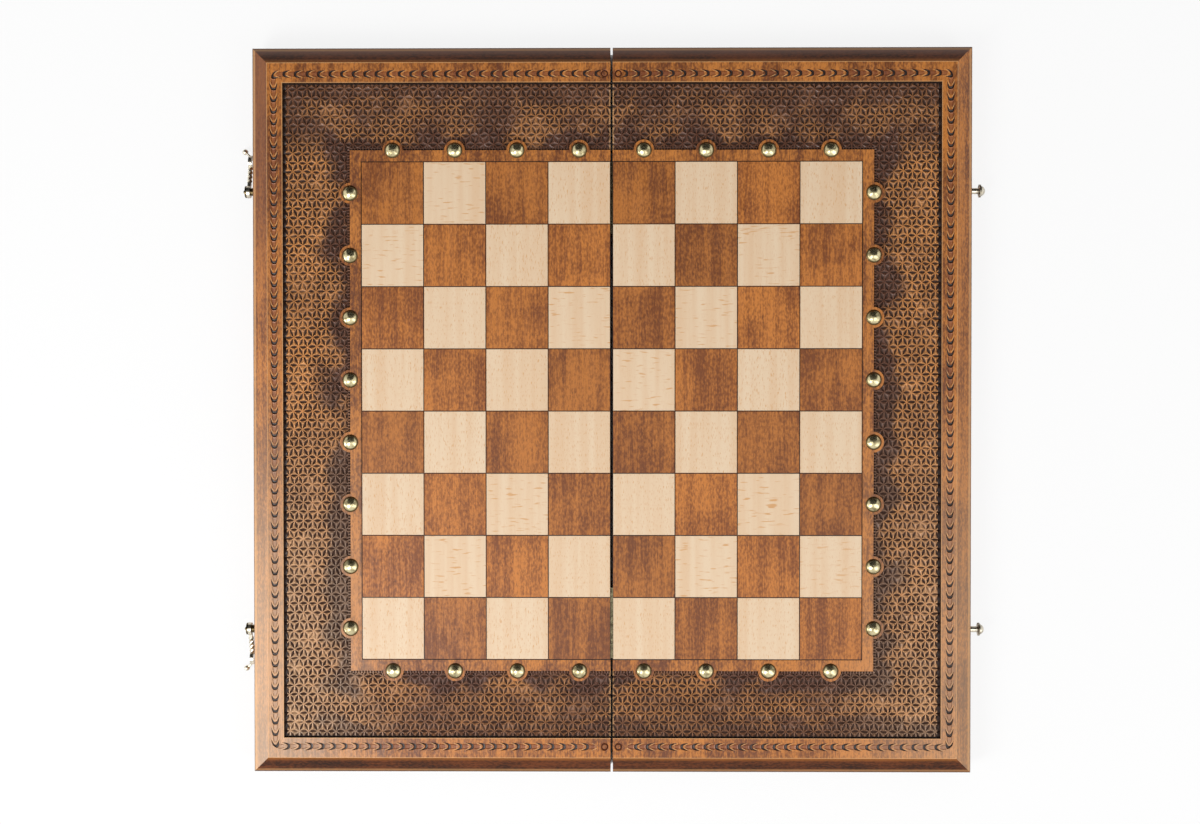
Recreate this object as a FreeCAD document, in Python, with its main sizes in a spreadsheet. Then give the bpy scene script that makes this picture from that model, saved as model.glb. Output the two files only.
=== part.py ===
"""Folding chess and backgammon board, lying open with the chess side up.

Millimetres, +Z up, table at z = 0, seam along Y. Sketches measure heights from the rim plane, where the hinge
axis lies; each node is then lifted by the knuckle radius, because the knuckles stand on the table.
"""

import FreeCAD
import Part

import os
import re

import Sketcher
from FreeCAD import Placement, Rotation, Vector

DIMENSIONS = {
    # Playing field
    "square": 43.3,
    "line_gap": 0.7,
    "veneer": 1.0,
    "strip_width": 8.0,
    "scallop_radius": 7.2,
    # Panel
    "carve_width": 47.0,
    "carve_depth": 2.2,
    "chip_row": 6.4,
    "chip_width": 4.4,
    "chip_depth": 1.2,
    "side_groove": 2.1,
    "end_groove": 1.1,
    "groove_depth": 0.9,
    "side_band": 11.0,
    "end_band": 14.0,
    "panel_thickness": 8.0,
    "chain_inset": 3.0,
    "chain_width": 6.0,
    "chain_depth": 1.0,
    # Rails
    "board_height": 34.0,
    "moulding_width": 11.8,
    "bevel_drop": 9.5,
    "lip_drop": 0.6,
    "edge_round": 2.5,
    "rim_round": 0.8,
    "wall": 14.2,
    "hinge_wall": 13.0,
    "seam_gap": 1.6,
    # Dome nails
    "nail_radius": 5.5,
    "nail_dome": 3.0,
    "nail_shank": 1.6,
    "nail_depth": 5.0,
    "nail_fit": 0.05,
    # Backgammon side
    "inner_board": 3.0,
    "inlay": 1.0,
    "point_length": 185.0,
    "point_gap": 1.6,
    "point_tip": 1.2,
    # Hinges
    "hinge_offset": 150.0,
    "leaf_length": 50.0,
    "leaf_height": 17.0,
    "leaf_clearance": 0.1,
    "knuckle_radius": 1.6,
    "knuckle_clearance": 0.3,
    "knuckle_gap": 0.2,
    "pin_radius": 0.8,
    "pin_clearance": 0.05,
    # Hinge screws
    "screw_radius": 1.2,
    "screw_head": 1.75,
    "screw_length": 10.0,
    "screw_height": 10.0,
    "screw_spacing": 30.0,
    "screw_fit": 0.05,
    # Hook plates and pivots
    "hook_offset": 155.0,
    "pivot_height": 12.0,
    "plate_length": 23.0,
    "plate_tail": 6.0,
    "plate_width": 8.0,
    "plate_thickness": 1.2,
    "plate_corner": 2.5,
    "plate_pin_radius": 0.9,
    "plate_pin_head": 1.8,
    "plate_pin_dome": 0.45,
    "plate_pin_inset": 3.0,
    "pivot_radius": 1.5,
    "pivot_collar": 2.8,
    "pivot_collar_radius": 2.8,
    "pivot_head": 4.2,
    "pivot_head_thickness": 1.1,
    "pivot_nub": 1.4,
    "pivot_nub_height": 1.6,
    "pivot_depth": 9.0,
    "pivot_fit": 0.05,
    # Hooks
    "eye_radius": 4.4,
    "eye_thickness": 2.2,
    "eye_clearance": 0.15,
    "neck_length": 7.2,
    "neck_width": 3.0,
    "shank_side": 2.6,
    "shank_start": 6.2,
    "claw_clearance": 0.4,
    "claw_band": 2.2,
    "claw_thickness": 2.4,
    "claw_lip": 1.2,
    "claw_leg": 3.2,
    "finger_reach": 8.0,
    "finger_radius": 1.05,
    "ball_radius": 2.0,
    "ball_rise": 4.5,
    "droop": 17.5,
    # Latch studs
    "stud_height": 11.0,
    "stud_base": 3.9,
    "stud_base_thickness": 1.2,
    "stud_shank": 2.1,
    "stud_flange": 4.6,
    "stud_flange_clearance": 1.1,
    "stud_flange_thickness": 1.0,
    "stud_dome_radius": 3.7,
    "stud_dome": 3.2,
    "stud_tail": 1.4,
    "stud_depth": 9.0,
}

# Distances from the board's middle, in sheet names
FIELD_X = "(seam_gap / 2 + 4 * square)"
STRIP_X = f"({FIELD_X} + strip_width)"
CARVE_X = f"({STRIP_X} + carve_width)"
PANEL_X = f"({CARVE_X} + side_band)"
OUTER_X = f"({PANEL_X} + moulding_width)"
TRAY_X = f"({OUTER_X} - wall)"
HINGE_WALL_X = "(seam_gap / 2 + hinge_wall)"
FIELD_Y = "(4 * square)"
STRIP_Y = f"({FIELD_Y} + strip_width)"
CARVE_Y = f"({STRIP_Y} + carve_width)"
PANEL_Y = f"({CARVE_Y} + end_band)"
OUTER_Y = f"({PANEL_Y} + moulding_width)"
TRAY_Y = f"({OUTER_Y} - wall)"

# Heights above the rim plane, in sheet names
LEDGE_Z = "(board_height - panel_thickness)"
GROUND_Z = "(board_height - carve_depth)"
BED_Z = "(board_height - veneer)"
CHIP_FLOOR_Z = f"({GROUND_Z} - chip_depth)"
TRAY_Z = f"({LEDGE_Z} - inner_board)"
BEVEL_FOOT_Z = "(board_height - bevel_drop)"

# Rows of cuts in the ground, counted from the board's middle line to the last beside and beyond the field
SIDE_ROWS = f"floor(({STRIP_Y} + chip_width / 2) / chip_row)"
END_ROWS = f"floor(({CARVE_Y} - end_groove - chip_width / 2) / chip_row)"

# Latch geometry, in sheet names: the hook reaches from its pivot to the stud across the closed rims
LATCH_REACH = "(pivot_height + stud_height)"
EYE_FOOT = "(plate_thickness + pivot_collar + eye_clearance)"
HEAD_FOOT = f"({EYE_FOOT} + eye_thickness + eye_clearance)"
CLAW_INNER = "(stud_shank + claw_clearance)"
CLAW_OUTER = f"({CLAW_INNER} + claw_band)"
HOOK_MIDDLE = f"({EYE_FOOT} + eye_thickness / 2)"
CLAW_FOOT = f"({HOOK_MIDDLE} - claw_thickness / 2)"
FLANGE_FOOT = f"({CLAW_FOOT} + claw_thickness + stud_flange_clearance)"
BALL_MIDDLE = f"({HOOK_MIDDLE} + ball_rise)"
LEAF_THICKNESS = "(seam_gap / 2 - leaf_clearance)"

SIDES = {"left": -1, "right": 1}
ENDS = {"back": 1, "front": -1}
SQUARES_ACROSS = 4
SQUARES_DEEP = 8
POINTS_PER_END = 6
KNUCKLES = 5
SCREWS_PER_LEAF = 2
SHANK_STEPS = 12
SHANK_STEP_TURN = 30
NEAR = 1e-4

doc = FreeCAD.newDocument("FoldingBoard")
sheet = doc.addObject("Spreadsheet::Sheet", "Dim")
nodes = []
cuts = []


# Sheet and expressions


def fill_sheet():
    for row, (name, number) in enumerate(DIMENSIONS.items(), start=1):
        sheet.set(f"A{row}", name)
        sheet.set(f"B{row}", str(number))
        sheet.setAlias(f"B{row}", name)
    doc.recompute()


def ref(expression):
    """Turn plain sheet names into references to the sheet's cells."""
    return re.sub(r"\b[a-z_]+\b(?!\()", r"Dim.\g<0>", str(expression))


def value(expression):
    return float(sheet.evalExpression(ref(expression)))


def bind(item, prop, expression):
    item.setExpression(prop, ref(expression))


def bind_place(item, x="0", y="0", z="0"):
    for axis, expression in zip("xyz", (x, y, z)):
        bind(item, f"Placement.Base.{axis}", expression)


# Sketches


def sketch_on(body, role, name, offset="0"):
    sketch = body.newObject("Sketcher::SketchObject", name)
    plane = next(f for f in body.Origin.OriginFeatures if f.Role == role)
    sketch.AttachmentSupport = [(plane, "")]
    sketch.MapMode = "FlatFace"
    bind(sketch, "AttachmentOffset.Base.z", offset)
    return sketch


def pin_point(sketch, curve, spot, x, y):
    """Hold one point of a curve at two distances from the sketch's origin."""
    for kind, expression in (("DistanceX", x), ("DistanceY", y)):
        rule = Sketcher.Constraint(kind, -1, 1, curve, spot, value(expression))
        index = sketch.addConstraint(rule)
        bind(sketch, f"Constraints[{index}]", expression)


def dome_arc(start, top):
    """Arc from the rim of a dome to its top, about a centre on the vertical axis."""
    height = top.y - start.y
    radius = (start.x**2 + height**2) / (2 * height)
    middle = Vector(0, top.y - radius, 0)
    circle = Part.Circle(middle, Vector(0, 0, 1), radius)
    return Part.ArcOfCircle(circle, circle.parameter(start), circle.parameter(top))


def add_outline(sketch, corners, dome=None):
    """Closed outline through corners; the stretch after corner number dome is a dome's arc."""
    points = [Vector(value(x), value(y), 0) for x, y in corners]
    count = len(points)
    first = sketch.GeometryCount
    for k, point in enumerate(points):
        following = points[(k + 1) % count]
        curve = dome_arc(point, following) if k == dome else Part.LineSegment(point, following)
        sketch.addGeometry(curve, False)
    for k in range(count):
        following = first + (k + 1) % count
        sketch.addConstraint(Sketcher.Constraint("Coincident", first + k, 2, following, 1))
    for k, (x, y) in enumerate(corners):
        pin_point(sketch, first + k, 1, x, y)
    if dome is not None:
        sketch.addConstraint(Sketcher.Constraint("PointOnObject", first + dome, 3, -2))


def add_box_outline(sketch, low, high):
    corners = [low, (high[0], low[1]), high, (low[0], high[1])]
    add_outline(sketch, corners)


def add_circle(sketch, x, y, radius):
    middle = Vector(value(x), value(y), 0)
    circle = sketch.addGeometry(Part.Circle(middle, Vector(0, 0, 1), value(radius)), False)
    pin_point(sketch, circle, 3, x, y)
    index = sketch.addConstraint(Sketcher.Constraint("Radius", circle, value(radius)))
    bind(sketch, f"Constraints[{index}]", radius)


# Features


def new_body(name):
    body = doc.addObject("PartDesign::Body", name)
    body.Label = name
    return body


def extrude(body, kind, sketch, length, symmetric=False, reverse=False):
    feature = body.newObject(f"PartDesign::{kind}", f"{kind}{len(body.Group)}")
    feature.Profile = sketch
    feature.Midplane = symmetric
    feature.Reversed = reverse
    bind(feature, "Length", length)
    sketch.Visibility = False
    return feature


def pad(body, sketch, length, symmetric=False, reverse=False):
    return extrude(body, "Pad", sketch, length, symmetric, reverse)


def pocket(body, sketch, length, symmetric=False, reverse=False):
    feature = extrude(body, "Pocket", sketch, length, symmetric, reverse)
    cuts.append(feature)
    return feature


def repeat_along_y(body, feature, length, count):
    pattern = body.newObject("PartDesign::LinearPattern", f"Rows{len(body.Group)}")
    pattern.Originals = [feature]
    pattern.Direction = (next(f for f in body.Origin.OriginFeatures if f.Role == "Y_Axis"), [""])
    bind(pattern, "Length", length)
    bind(pattern, "Occurrences", count)
    body.Tip = pattern
    return pattern


def turn(body, sketch):
    feature = body.newObject("PartDesign::Revolution", "Revolution")
    feature.Profile = sketch
    feature.ReferenceAxis = (sketch, ["V_Axis"])
    feature.Angle = 360
    sketch.Visibility = False
    return feature


def loft(body, sections):
    feature = body.newObject("PartDesign::AdditiveLoft", f"Loft{len(body.Group)}")
    feature.Profile = sections[0]
    feature.Sections = sections[1:]
    feature.Ruled = True
    for sketch in sections:
        sketch.Visibility = False
    return feature


def round_edges(body, radius, wanted):
    """Fillet every edge that passes the test."""
    doc.recompute()
    base = body.Tip
    edges = [f"Edge{k}" for k, edge in enumerate(base.Shape.Edges, start=1) if wanted(edge)]
    feature = body.newObject("PartDesign::Fillet", f"Fillet{len(body.Group)}")
    feature.Base = (base, edges)
    bind(feature, "Radius", radius)
    return feature


def keep(item, label, placed=False):
    """Make an object one of the board's nodes, lifted onto the table unless it has its own place."""
    item.Label = label
    if not placed:
        bind(item, "Placement.Base.z", "knuckle_radius")
    nodes.append(item)


def copies(label, master, places):
    """Group of linked copies of a master, each at a place and a rotation."""
    links = []
    for k, (place, rotation) in enumerate(places):
        link = doc.addObject("App::Link", f"{label}_{k}")
        link.LinkedObject = master
        link.Placement = Placement(Vector(), rotation)
        bind_place(link, *place)
        links.append(link)
    group = doc.addObject("Part::Compound", label)
    group.Links = links
    keep(group, label)


# Rails


def rail_profile(outer, sign):
    """Section of a wall: bevelled top edge outside, ledge for the panel inside."""
    return [
        (f"{sign} * {outer}", "0"),
        (f"{sign} * ({outer} - wall)", "0"),
        (f"{sign} * ({outer} - wall)", LEDGE_Z),
        (f"{sign} * ({outer} - moulding_width)", LEDGE_Z),
        (f"{sign} * ({outer} - moulding_width)", "board_height - lip_drop"),
        (f"{sign} * {outer}", BEVEL_FOOT_Z),
    ]


def soften_rail(body, along, outer, sign):
    """Round the foot of the bevel and the outer rim edge."""
    place = sign * value(outer)

    def at_height(height):
        def wanted(edge):
            points = [vertex.Point for vertex in edge.Vertexes]
            return all(abs(getattr(p, along) - place) + abs(p.z - height) < NEAR for p in points)

        return wanted

    round_edges(body, "edge_round", at_height(value(BEVEL_FOOT_Z)))
    round_edges(body, "rim_round", at_height(0))


def mitre(body, side, end, keeps_side):
    """Cut a rail's end along the corner's diagonal."""
    outside = (f"{side} * ({OUTER_X} + wall)", f"{end} * ({OUTER_Y} + wall)")
    inside = (f"{side} * ({OUTER_X} - 2 * wall)", f"{end} * ({OUTER_Y} - 2 * wall)")
    third = (inside[0], outside[1]) if keeps_side else (outside[0], inside[1])
    sketch = sketch_on(body, "XY_Plane", "Mitre")
    add_outline(sketch, [outside, inside, third])
    pocket(body, sketch, "board_height", reverse=True)


def wall_holes(body, side, spots, radius, depth):
    """Blind holes into an outer wall for fasteners that stand out of it."""
    sketch = sketch_on(body, "YZ_Plane", "Holes", f"{side} * {OUTER_X}")
    for y, z in spots:
        add_circle(sketch, y, z, radius)
    pocket(body, sketch, depth, reverse=side < 0)


def outer_rail(name, side):
    body = new_body(f"{name}_outer_rail")
    sketch = sketch_on(body, "XZ_Plane", "Section")
    add_outline(sketch, rail_profile(OUTER_X, side))
    pad(body, sketch, f"2 * {OUTER_Y}", symmetric=True)
    soften_rail(body, "x", OUTER_X, side)
    for end in ENDS.values():
        mitre(body, side, end, keeps_side=True)
    if name == "left":
        pivots = [(f"{end} * hook_offset", "pivot_height") for end in ENDS.values()]
        wall_holes(body, side, pivots, "pivot_radius + pivot_fit", "pivot_depth")
        pins = [(plate_pin_y(end), "pivot_height") for end in ENDS.values()]
        wall_holes(body, side, pins, "plate_pin_radius + pivot_fit", "pivot_depth")
    else:
        studs = [(f"{end} * hook_offset", "stud_height") for end in ENDS.values()]
        wall_holes(body, side, studs, "stud_tail + pivot_fit", "stud_depth")
    keep(body, body.Name)


def end_rail(name, side, end_name, end):
    body = new_body(f"{name}_{end_name}_rail")
    sketch = sketch_on(body, "YZ_Plane", "Section", f"{side} * seam_gap / 2")
    add_outline(sketch, rail_profile(OUTER_Y, end))
    pad(body, sketch, f"{OUTER_X} - seam_gap / 2", reverse=side < 0)
    soften_rail(body, "y", OUTER_Y, end)
    mitre(body, side, end, keeps_side=False)
    keep(body, body.Name)


def hinge_rail(name, side):
    body = new_body(f"{name}_hinge_rail")
    sketch = sketch_on(body, "XY_Plane", "Outline")
    low = (f"{side} * seam_gap / 2", f"-{TRAY_Y}")
    add_box_outline(sketch, low, (f"{side} * {HINGE_WALL_X}", TRAY_Y))
    pad(body, sketch, LEDGE_Z)
    for end_name, end in ENDS.items():
        relief = sketch_on(body, "XZ_Plane", f"Relief_{end_name}", f"{-end} * hinge_offset")
        add_circle(relief, "0", "0", "knuckle_radius + knuckle_clearance")
        pocket(body, relief, "leaf_length + 2 * knuckle_clearance", symmetric=True)
    holes = sketch_on(body, "YZ_Plane", "Screw_holes", f"{side} * seam_gap / 2")
    for y, z in screw_spots():
        add_circle(holes, y, z, "screw_radius + screw_fit")
    pocket(body, holes, "screw_length", reverse=side > 0)
    keep(body, body.Name)


# Chess side


def nail_spots(side):
    """One nail by each edge square, on the outer line of the field's border."""
    spots = []
    for k in range(SQUARES_DEEP):
        spots.append((f"{side} * {STRIP_X}", f"({k} + 0.5 - {SQUARES_DEEP} / 2) * square"))
    for end in ENDS.values():
        for k in range(SQUARES_ACROSS):
            spots.append((f"{side} * (seam_gap / 2 + ({k} + 0.5) * square)", f"{end} * {STRIP_Y}"))
    return spots


def surround(side, outer, inner):
    """Outline of a strip that runs round three sides of the field and ends at the seam."""
    seam = f"{side} * seam_gap / 2"
    outer_x, inner_x = f"{side} * {outer[0]}", f"{side} * {inner[0]}"
    corners = [(seam, outer[1]), (outer_x, outer[1]), (outer_x, f"-{outer[1]}"), (seam, f"-{outer[1]}")]
    return corners + [(seam, f"-{inner[1]}"), (inner_x, f"-{inner[1]}"), (inner_x, inner[1]), (seam, inner[1])]


def cut_rows(body, side):
    """Rows of V-shaped cuts across the ground, beside the field and beyond its two ends."""
    beside = (f"{side} * {STRIP_X}", "carve_width")
    beyond = (f"{side} * seam_gap / 2", f"{CARVE_X} - seam_gap / 2")
    spans = [(beside, f"-{SIDE_ROWS}", SIDE_ROWS), (beyond, f"({SIDE_ROWS} + 1)", END_ROWS)]
    spans.append((beyond, f"-{END_ROWS}", f"-({SIDE_ROWS} + 1)"))
    for (start, length), first, last in spans:
        sketch = sketch_on(body, "YZ_Plane", "Cut", start)
        middle = f"{first} * chip_row"
        edges = [(f"{middle} {sign} chip_width / 2", GROUND_Z) for sign in "-+"]
        add_outline(sketch, edges + [(middle, CHIP_FLOOR_Z)])
        cut = pocket(body, sketch, length, reverse=side > 0)
        repeat_along_y(body, cut, f"({last} - {first}) * chip_row", f"{last} - {first} + 1")


def carved_panel(name, side):
    """One board: band with a channel for its chain, sunk ground with rows of cuts, raised field with scallops."""
    body = new_body(f"{name}_carved_panel")
    seam = f"{side} * seam_gap / 2"
    board = sketch_on(body, "XY_Plane", "Board", LEDGE_Z)
    add_box_outline(board, (seam, f"-{PANEL_Y}"), (f"{side} * {PANEL_X}", PANEL_Y))
    pad(body, board, "panel_thickness")

    ground = sketch_on(body, "XY_Plane", "Ground", "board_height")
    add_outline(ground, surround(side, (CARVE_X, CARVE_Y), (STRIP_X, STRIP_Y)))
    pocket(body, ground, "carve_depth")
    groove = sketch_on(body, "XY_Plane", "Border_groove", GROUND_Z)
    inner = (f"({CARVE_X} - side_groove)", f"({CARVE_Y} - end_groove)")
    add_outline(groove, surround(side, (CARVE_X, CARVE_Y), inner))
    pocket(body, groove, "groove_depth")
    cut_rows(body, side)

    channel = sketch_on(body, "XY_Plane", "Chain_channel", "board_height")
    inner = (f"({CARVE_X} + chain_inset)", f"({CARVE_Y} + chain_inset)")
    outer = (f"({inner[0]} + chain_width)", f"({inner[1]} + chain_width)")
    add_outline(channel, surround(side, outer, inner))
    pocket(body, channel, "chain_depth")

    scallops = sketch_on(body, "XY_Plane", "Scallops", CHIP_FLOOR_Z)
    for x, y in nail_spots(side):
        add_circle(scallops, x, y, "scallop_radius")
    pad(body, scallops, "carve_depth + chip_depth")

    bed = sketch_on(body, "XY_Plane", "Veneer_bed", "board_height")
    bed_x, bed_y = f"({FIELD_X} + line_gap / 2)", f"({FIELD_Y} + line_gap / 2)"
    add_box_outline(bed, (seam, f"-{bed_y}"), (f"{side} * {bed_x}", bed_y))
    pocket(body, bed, "veneer")

    holes = sketch_on(body, "XY_Plane", "Nail_holes", "board_height")
    half = "(nail_shank / 2 + nail_fit)"
    for x, y in nail_spots(side):
        add_box_outline(holes, (f"{x} - {half}", f"{y} - {half}"), (f"{x} + {half}", f"{y} + {half}"))
    pocket(body, holes, "nail_depth")
    keep(body, body.Name)


def squares(name, side, tone, parity):
    """Veneers of one tone, with a dark line left open round each."""
    tiles = []
    for column in range(SQUARES_ACROSS):
        for row in range(SQUARES_DEEP):
            file = column if side > 0 else -column - 1
            if (file + row) % 2 != parity:
                continue
            tile = doc.addObject("Part::Box", f"{name}_{tone}_square")
            bind(tile, "Length", "square - line_gap")
            bind(tile, "Width", "square - line_gap")
            bind(tile, "Height", "veneer")
            corner_x = f"{side} * seam_gap / 2 + {file} * square + line_gap / 2"
            corner_y = f"({row} - {SQUARES_DEEP} / 2) * square + line_gap / 2"
            bind_place(tile, corner_x, corner_y, BED_Z)
            tiles.append(tile)
    group = doc.addObject("Part::Compound", f"{name}_{tone}_squares")
    group.Links = tiles
    keep(group, f"{name}_{tone}_squares")


def lathe(name, corners, dome):
    body = new_body(name)
    sketch = sketch_on(body, "XZ_Plane", "Half_section")
    add_outline(sketch, corners, dome)
    turn(body, sketch)
    return body


def nail_master():
    """Dome on a square shank."""
    body = lathe("dome_nail", [("0", "0"), ("nail_radius", "0"), ("0", "nail_dome")], dome=1)
    shank = sketch_on(body, "XY_Plane", "Shank")
    half = "nail_shank / 2"
    add_box_outline(shank, (f"-{half}", f"-{half}"), (half, half))
    pad(body, shank, "nail_depth", reverse=True)
    return body


# Backgammon side


def point_corners(side, end, index):
    """A point's triangle with its base on the end wall and a narrow cut tip."""
    pitch = f"(({TRAY_X} - {HINGE_WALL_X}) / {POINTS_PER_END})"
    middle = f"({HINGE_WALL_X} + ({index} + 0.5) * {pitch})"
    base, tip = f"({pitch} - point_gap) / 2", "point_tip / 2"
    near, far = f"{end} * {TRAY_Y}", f"{end} * ({TRAY_Y} - point_length)"
    return [
        (f"{side} * ({middle} - {base})", near),
        (f"{side} * ({middle} + {base})", near),
        (f"{side} * ({middle} + {tip})", far),
        (f"{side} * ({middle} - {tip})", far),
    ]


def point_list(tone_parity):
    """End and index of the points of one tone; None gives every point."""
    every = [(end, k) for end in ENDS.values() for k in range(POINTS_PER_END)]
    return [(e, k) for e, k in every if tone_parity is None or (k + (e > 0)) % 2 == tone_parity]


def backgammon_field(name, side):
    body = new_body(f"{name}_backgammon_field")
    board = sketch_on(body, "XY_Plane", "Board", TRAY_Z)
    add_box_outline(board, (f"{side} * {HINGE_WALL_X}", f"-{TRAY_Y}"), (f"{side} * {TRAY_X}", TRAY_Y))
    pad(body, board, "inner_board")
    beds = sketch_on(body, "XY_Plane", "Point_beds", TRAY_Z)
    for end, index in point_list(None):
        add_outline(beds, point_corners(side, end, index))
    pocket(body, beds, "inlay", reverse=True)
    keep(body, body.Name)


def points(name, side, tone, parity):
    body = new_body(f"{name}_{tone}_points")
    sketch = sketch_on(body, "XY_Plane", "Points", TRAY_Z)
    for end, index in point_list(parity):
        add_outline(sketch, point_corners(side, end, index))
    pad(body, sketch, "inlay")
    keep(body, body.Name)


# Hinges


def screw_spots():
    spots = []
    for end in ENDS.values():
        for k in range(SCREWS_PER_LEAF):
            step = k - (SCREWS_PER_LEAF - 1) / 2
            spots.append((f"{end} * hinge_offset + {step} * screw_spacing", "screw_height"))
    return spots


def leaf_master(name, side):
    """Leaf with its own knuckles; the left leaf holds the odd ones, the right leaf the even ones."""
    body = new_body(f"{name}_leaf")
    plate = sketch_on(body, "YZ_Plane", "Plate", f"{side} * leaf_clearance")
    add_box_outline(plate, ("-leaf_length / 2", "0"), ("leaf_length / 2", "leaf_height"))
    pad(body, plate, LEAF_THICKNESS, reverse=side < 0)
    barrel = sketch_on(body, "XZ_Plane", "Barrel")
    add_circle(barrel, "0", "0", "knuckle_radius")
    pad(body, barrel, "leaf_length", symmetric=True)

    others = sketch_on(body, "YZ_Plane", "Other_knuckles")
    knuckle = f"(leaf_length / {KNUCKLES})"
    for k in range(KNUCKLES):
        if k % 2 == (1 if side < 0 else 0):
            low = f"-leaf_length / 2 + {k} * {knuckle} - knuckle_gap / 2"
            high = f"-leaf_length / 2 + {k + 1} * {knuckle} + knuckle_gap / 2"
            reach = "knuckle_radius + knuckle_clearance"
            add_box_outline(others, (low, f"-({reach})"), (high, reach))
    pocket(body, others, "4 * knuckle_radius", symmetric=True)

    bore = sketch_on(body, "XZ_Plane", "Bore")
    add_circle(bore, "0", "0", "pin_radius + pin_clearance")
    pocket(body, bore, "2 * leaf_length", symmetric=True)
    return body


def countersink(leaf, side):
    """Conical seats for the screw heads, open at the leaf's free face."""
    cone_height = "(screw_head - screw_radius)"
    for k in range(SCREWS_PER_LEAF):
        step = k - (SCREWS_PER_LEAF - 1) / 2
        hole = leaf.newObject("PartDesign::SubtractiveCylinder", f"Screw_hole_{k}")
        bind(hole, "Radius", "screw_radius + screw_fit")
        bind(hole, "Height", "seam_gap")
        seat = leaf.newObject("PartDesign::SubtractiveCone", f"Screw_seat_{k}")
        bind(seat, "Radius1", "screw_head + screw_fit")
        bind(seat, "Radius2", "screw_radius + screw_fit")
        bind(seat, "Height", cone_height)
        for cutter in (hole, seat):
            cutter.Placement = Placement(Vector(), Rotation(Vector(0, 1, 0), 90 * side))
            bind_place(cutter, f"{side} * leaf_clearance", f"{step} * screw_spacing", "screw_height")
            cuts.append(cutter)


def screw_master():
    corners = [
        ("0", "-screw_length"),
        ("screw_radius", "-screw_length + screw_radius"),
        ("screw_radius", "-(screw_head - screw_radius)"),
        ("screw_head", "0"),
        ("0", "0"),
    ]
    return lathe("countersunk_screw", corners, dome=None)


def hinge_pins():
    pins = []
    for end_name, end in ENDS.items():
        pin = doc.addObject("Part::Cylinder", f"{end_name}_pin")
        bind(pin, "Radius", "pin_radius")
        bind(pin, "Height", "leaf_length")
        pin.Placement = Placement(Vector(), Rotation(Vector(1, 0, 0), -90))
        bind_place(pin, "0", f"{end} * hinge_offset - leaf_length / 2", "0")
        pins.append(pin)
    group = doc.addObject("Part::Compound", "hinge_pins")
    group.Links = pins
    keep(group, "hinge_pins")


# Hooks and studs


def plate_pin_y(end):
    return f"{end} * (hook_offset + plate_length - plate_tail - plate_pin_inset)"


def hook_plate(end_name, end):
    body = new_body(f"{end_name}_hook_plate")
    sketch = sketch_on(body, "YZ_Plane", "Plate", f"-{OUTER_X}")
    low = (f"{end} * (hook_offset - plate_tail)", "pivot_height - plate_width / 2")
    high = (f"{end} * (hook_offset + plate_length - plate_tail)", "pivot_height + plate_width / 2")
    add_box_outline(sketch, low, high)
    add_circle(sketch, f"{end} * hook_offset", "pivot_height", "pivot_radius + pivot_fit")
    add_circle(sketch, plate_pin_y(end), "pivot_height", "plate_pin_radius + pivot_fit")
    pad(body, sketch, "plate_thickness", reverse=True)
    middle, half_width = value("pivot_height"), value("plate_width / 2")

    def crosses_plate(edge):
        first, last = edge.Vertexes[0].Point, edge.Vertexes[-1].Point
        along_x = abs(abs(first.x - last.x) - edge.Length) < NEAR
        return along_x and abs(abs(first.z - middle) - half_width) < NEAR

    round_edges(body, "plate_corner", crosses_plate)
    keep(body, body.Name)


def stand_on_wall(body, side, end, height):
    """Place a lathe-turned fastener on an outer wall, its axis pointing outwards."""
    body.Placement = Placement(Vector(), Rotation(Vector(0, 1, 0), 90 * side))
    bind_place(body, f"{side} * {OUTER_X}", f"{end} * hook_offset", f"knuckle_radius + {height}")


def hook_pivot(end_name, end):
    """Pivot with a collar that holds the hook's eye off its plate, a flat head and a nub."""
    collar_top = "(plate_thickness + pivot_collar)"
    head_top = f"({HEAD_FOOT} + pivot_head_thickness)"
    corners = [
        ("0", "-pivot_depth"),
        ("pivot_radius", "-pivot_depth"),
        ("pivot_radius", "plate_thickness"),
        ("pivot_collar_radius", "plate_thickness"),
        ("pivot_collar_radius", collar_top),
        ("pivot_radius", collar_top),
        ("pivot_radius", HEAD_FOOT),
        ("pivot_head", HEAD_FOOT),
        ("pivot_head", head_top),
        ("pivot_nub", head_top),
        ("0", f"{head_top} + pivot_nub_height"),
    ]
    body = lathe(f"{end_name}_hook_pivot", corners, dome=9)
    stand_on_wall(body, -1, end, "pivot_height")
    keep(body, body.Name, placed=True)


def plate_pin_master():
    corners = [
        ("0", "-pivot_depth"),
        ("plate_pin_radius", "-pivot_depth"),
        ("plate_pin_radius", "plate_thickness"),
        ("plate_pin_head", "plate_thickness"),
        ("0", "plate_thickness + plate_pin_dome"),
    ]
    return lathe("plate_pin", corners, dome=3)


def shank_section(body, step):
    """One square section of the twisted shank, turned a little further at each step."""
    share = step / SHANK_STEPS
    end = f"({LATCH_REACH} - {CLAW_INNER} - claw_band / 2)"
    along = f"shank_start + {share} * ({end} - shank_start)"
    sketch = sketch_on(body, "YZ_Plane", f"Shank_{step}", along)
    corner = "shank_side * sqrt(0.5)"
    turns = [45 + 90 * k + SHANK_STEP_TURN * step for k in range(4)]
    add_outline(sketch, [(f"{corner} * cos({a})", f"{HOOK_MIDDLE} + {corner} * sin({a})") for a in turns])
    return sketch


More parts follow.
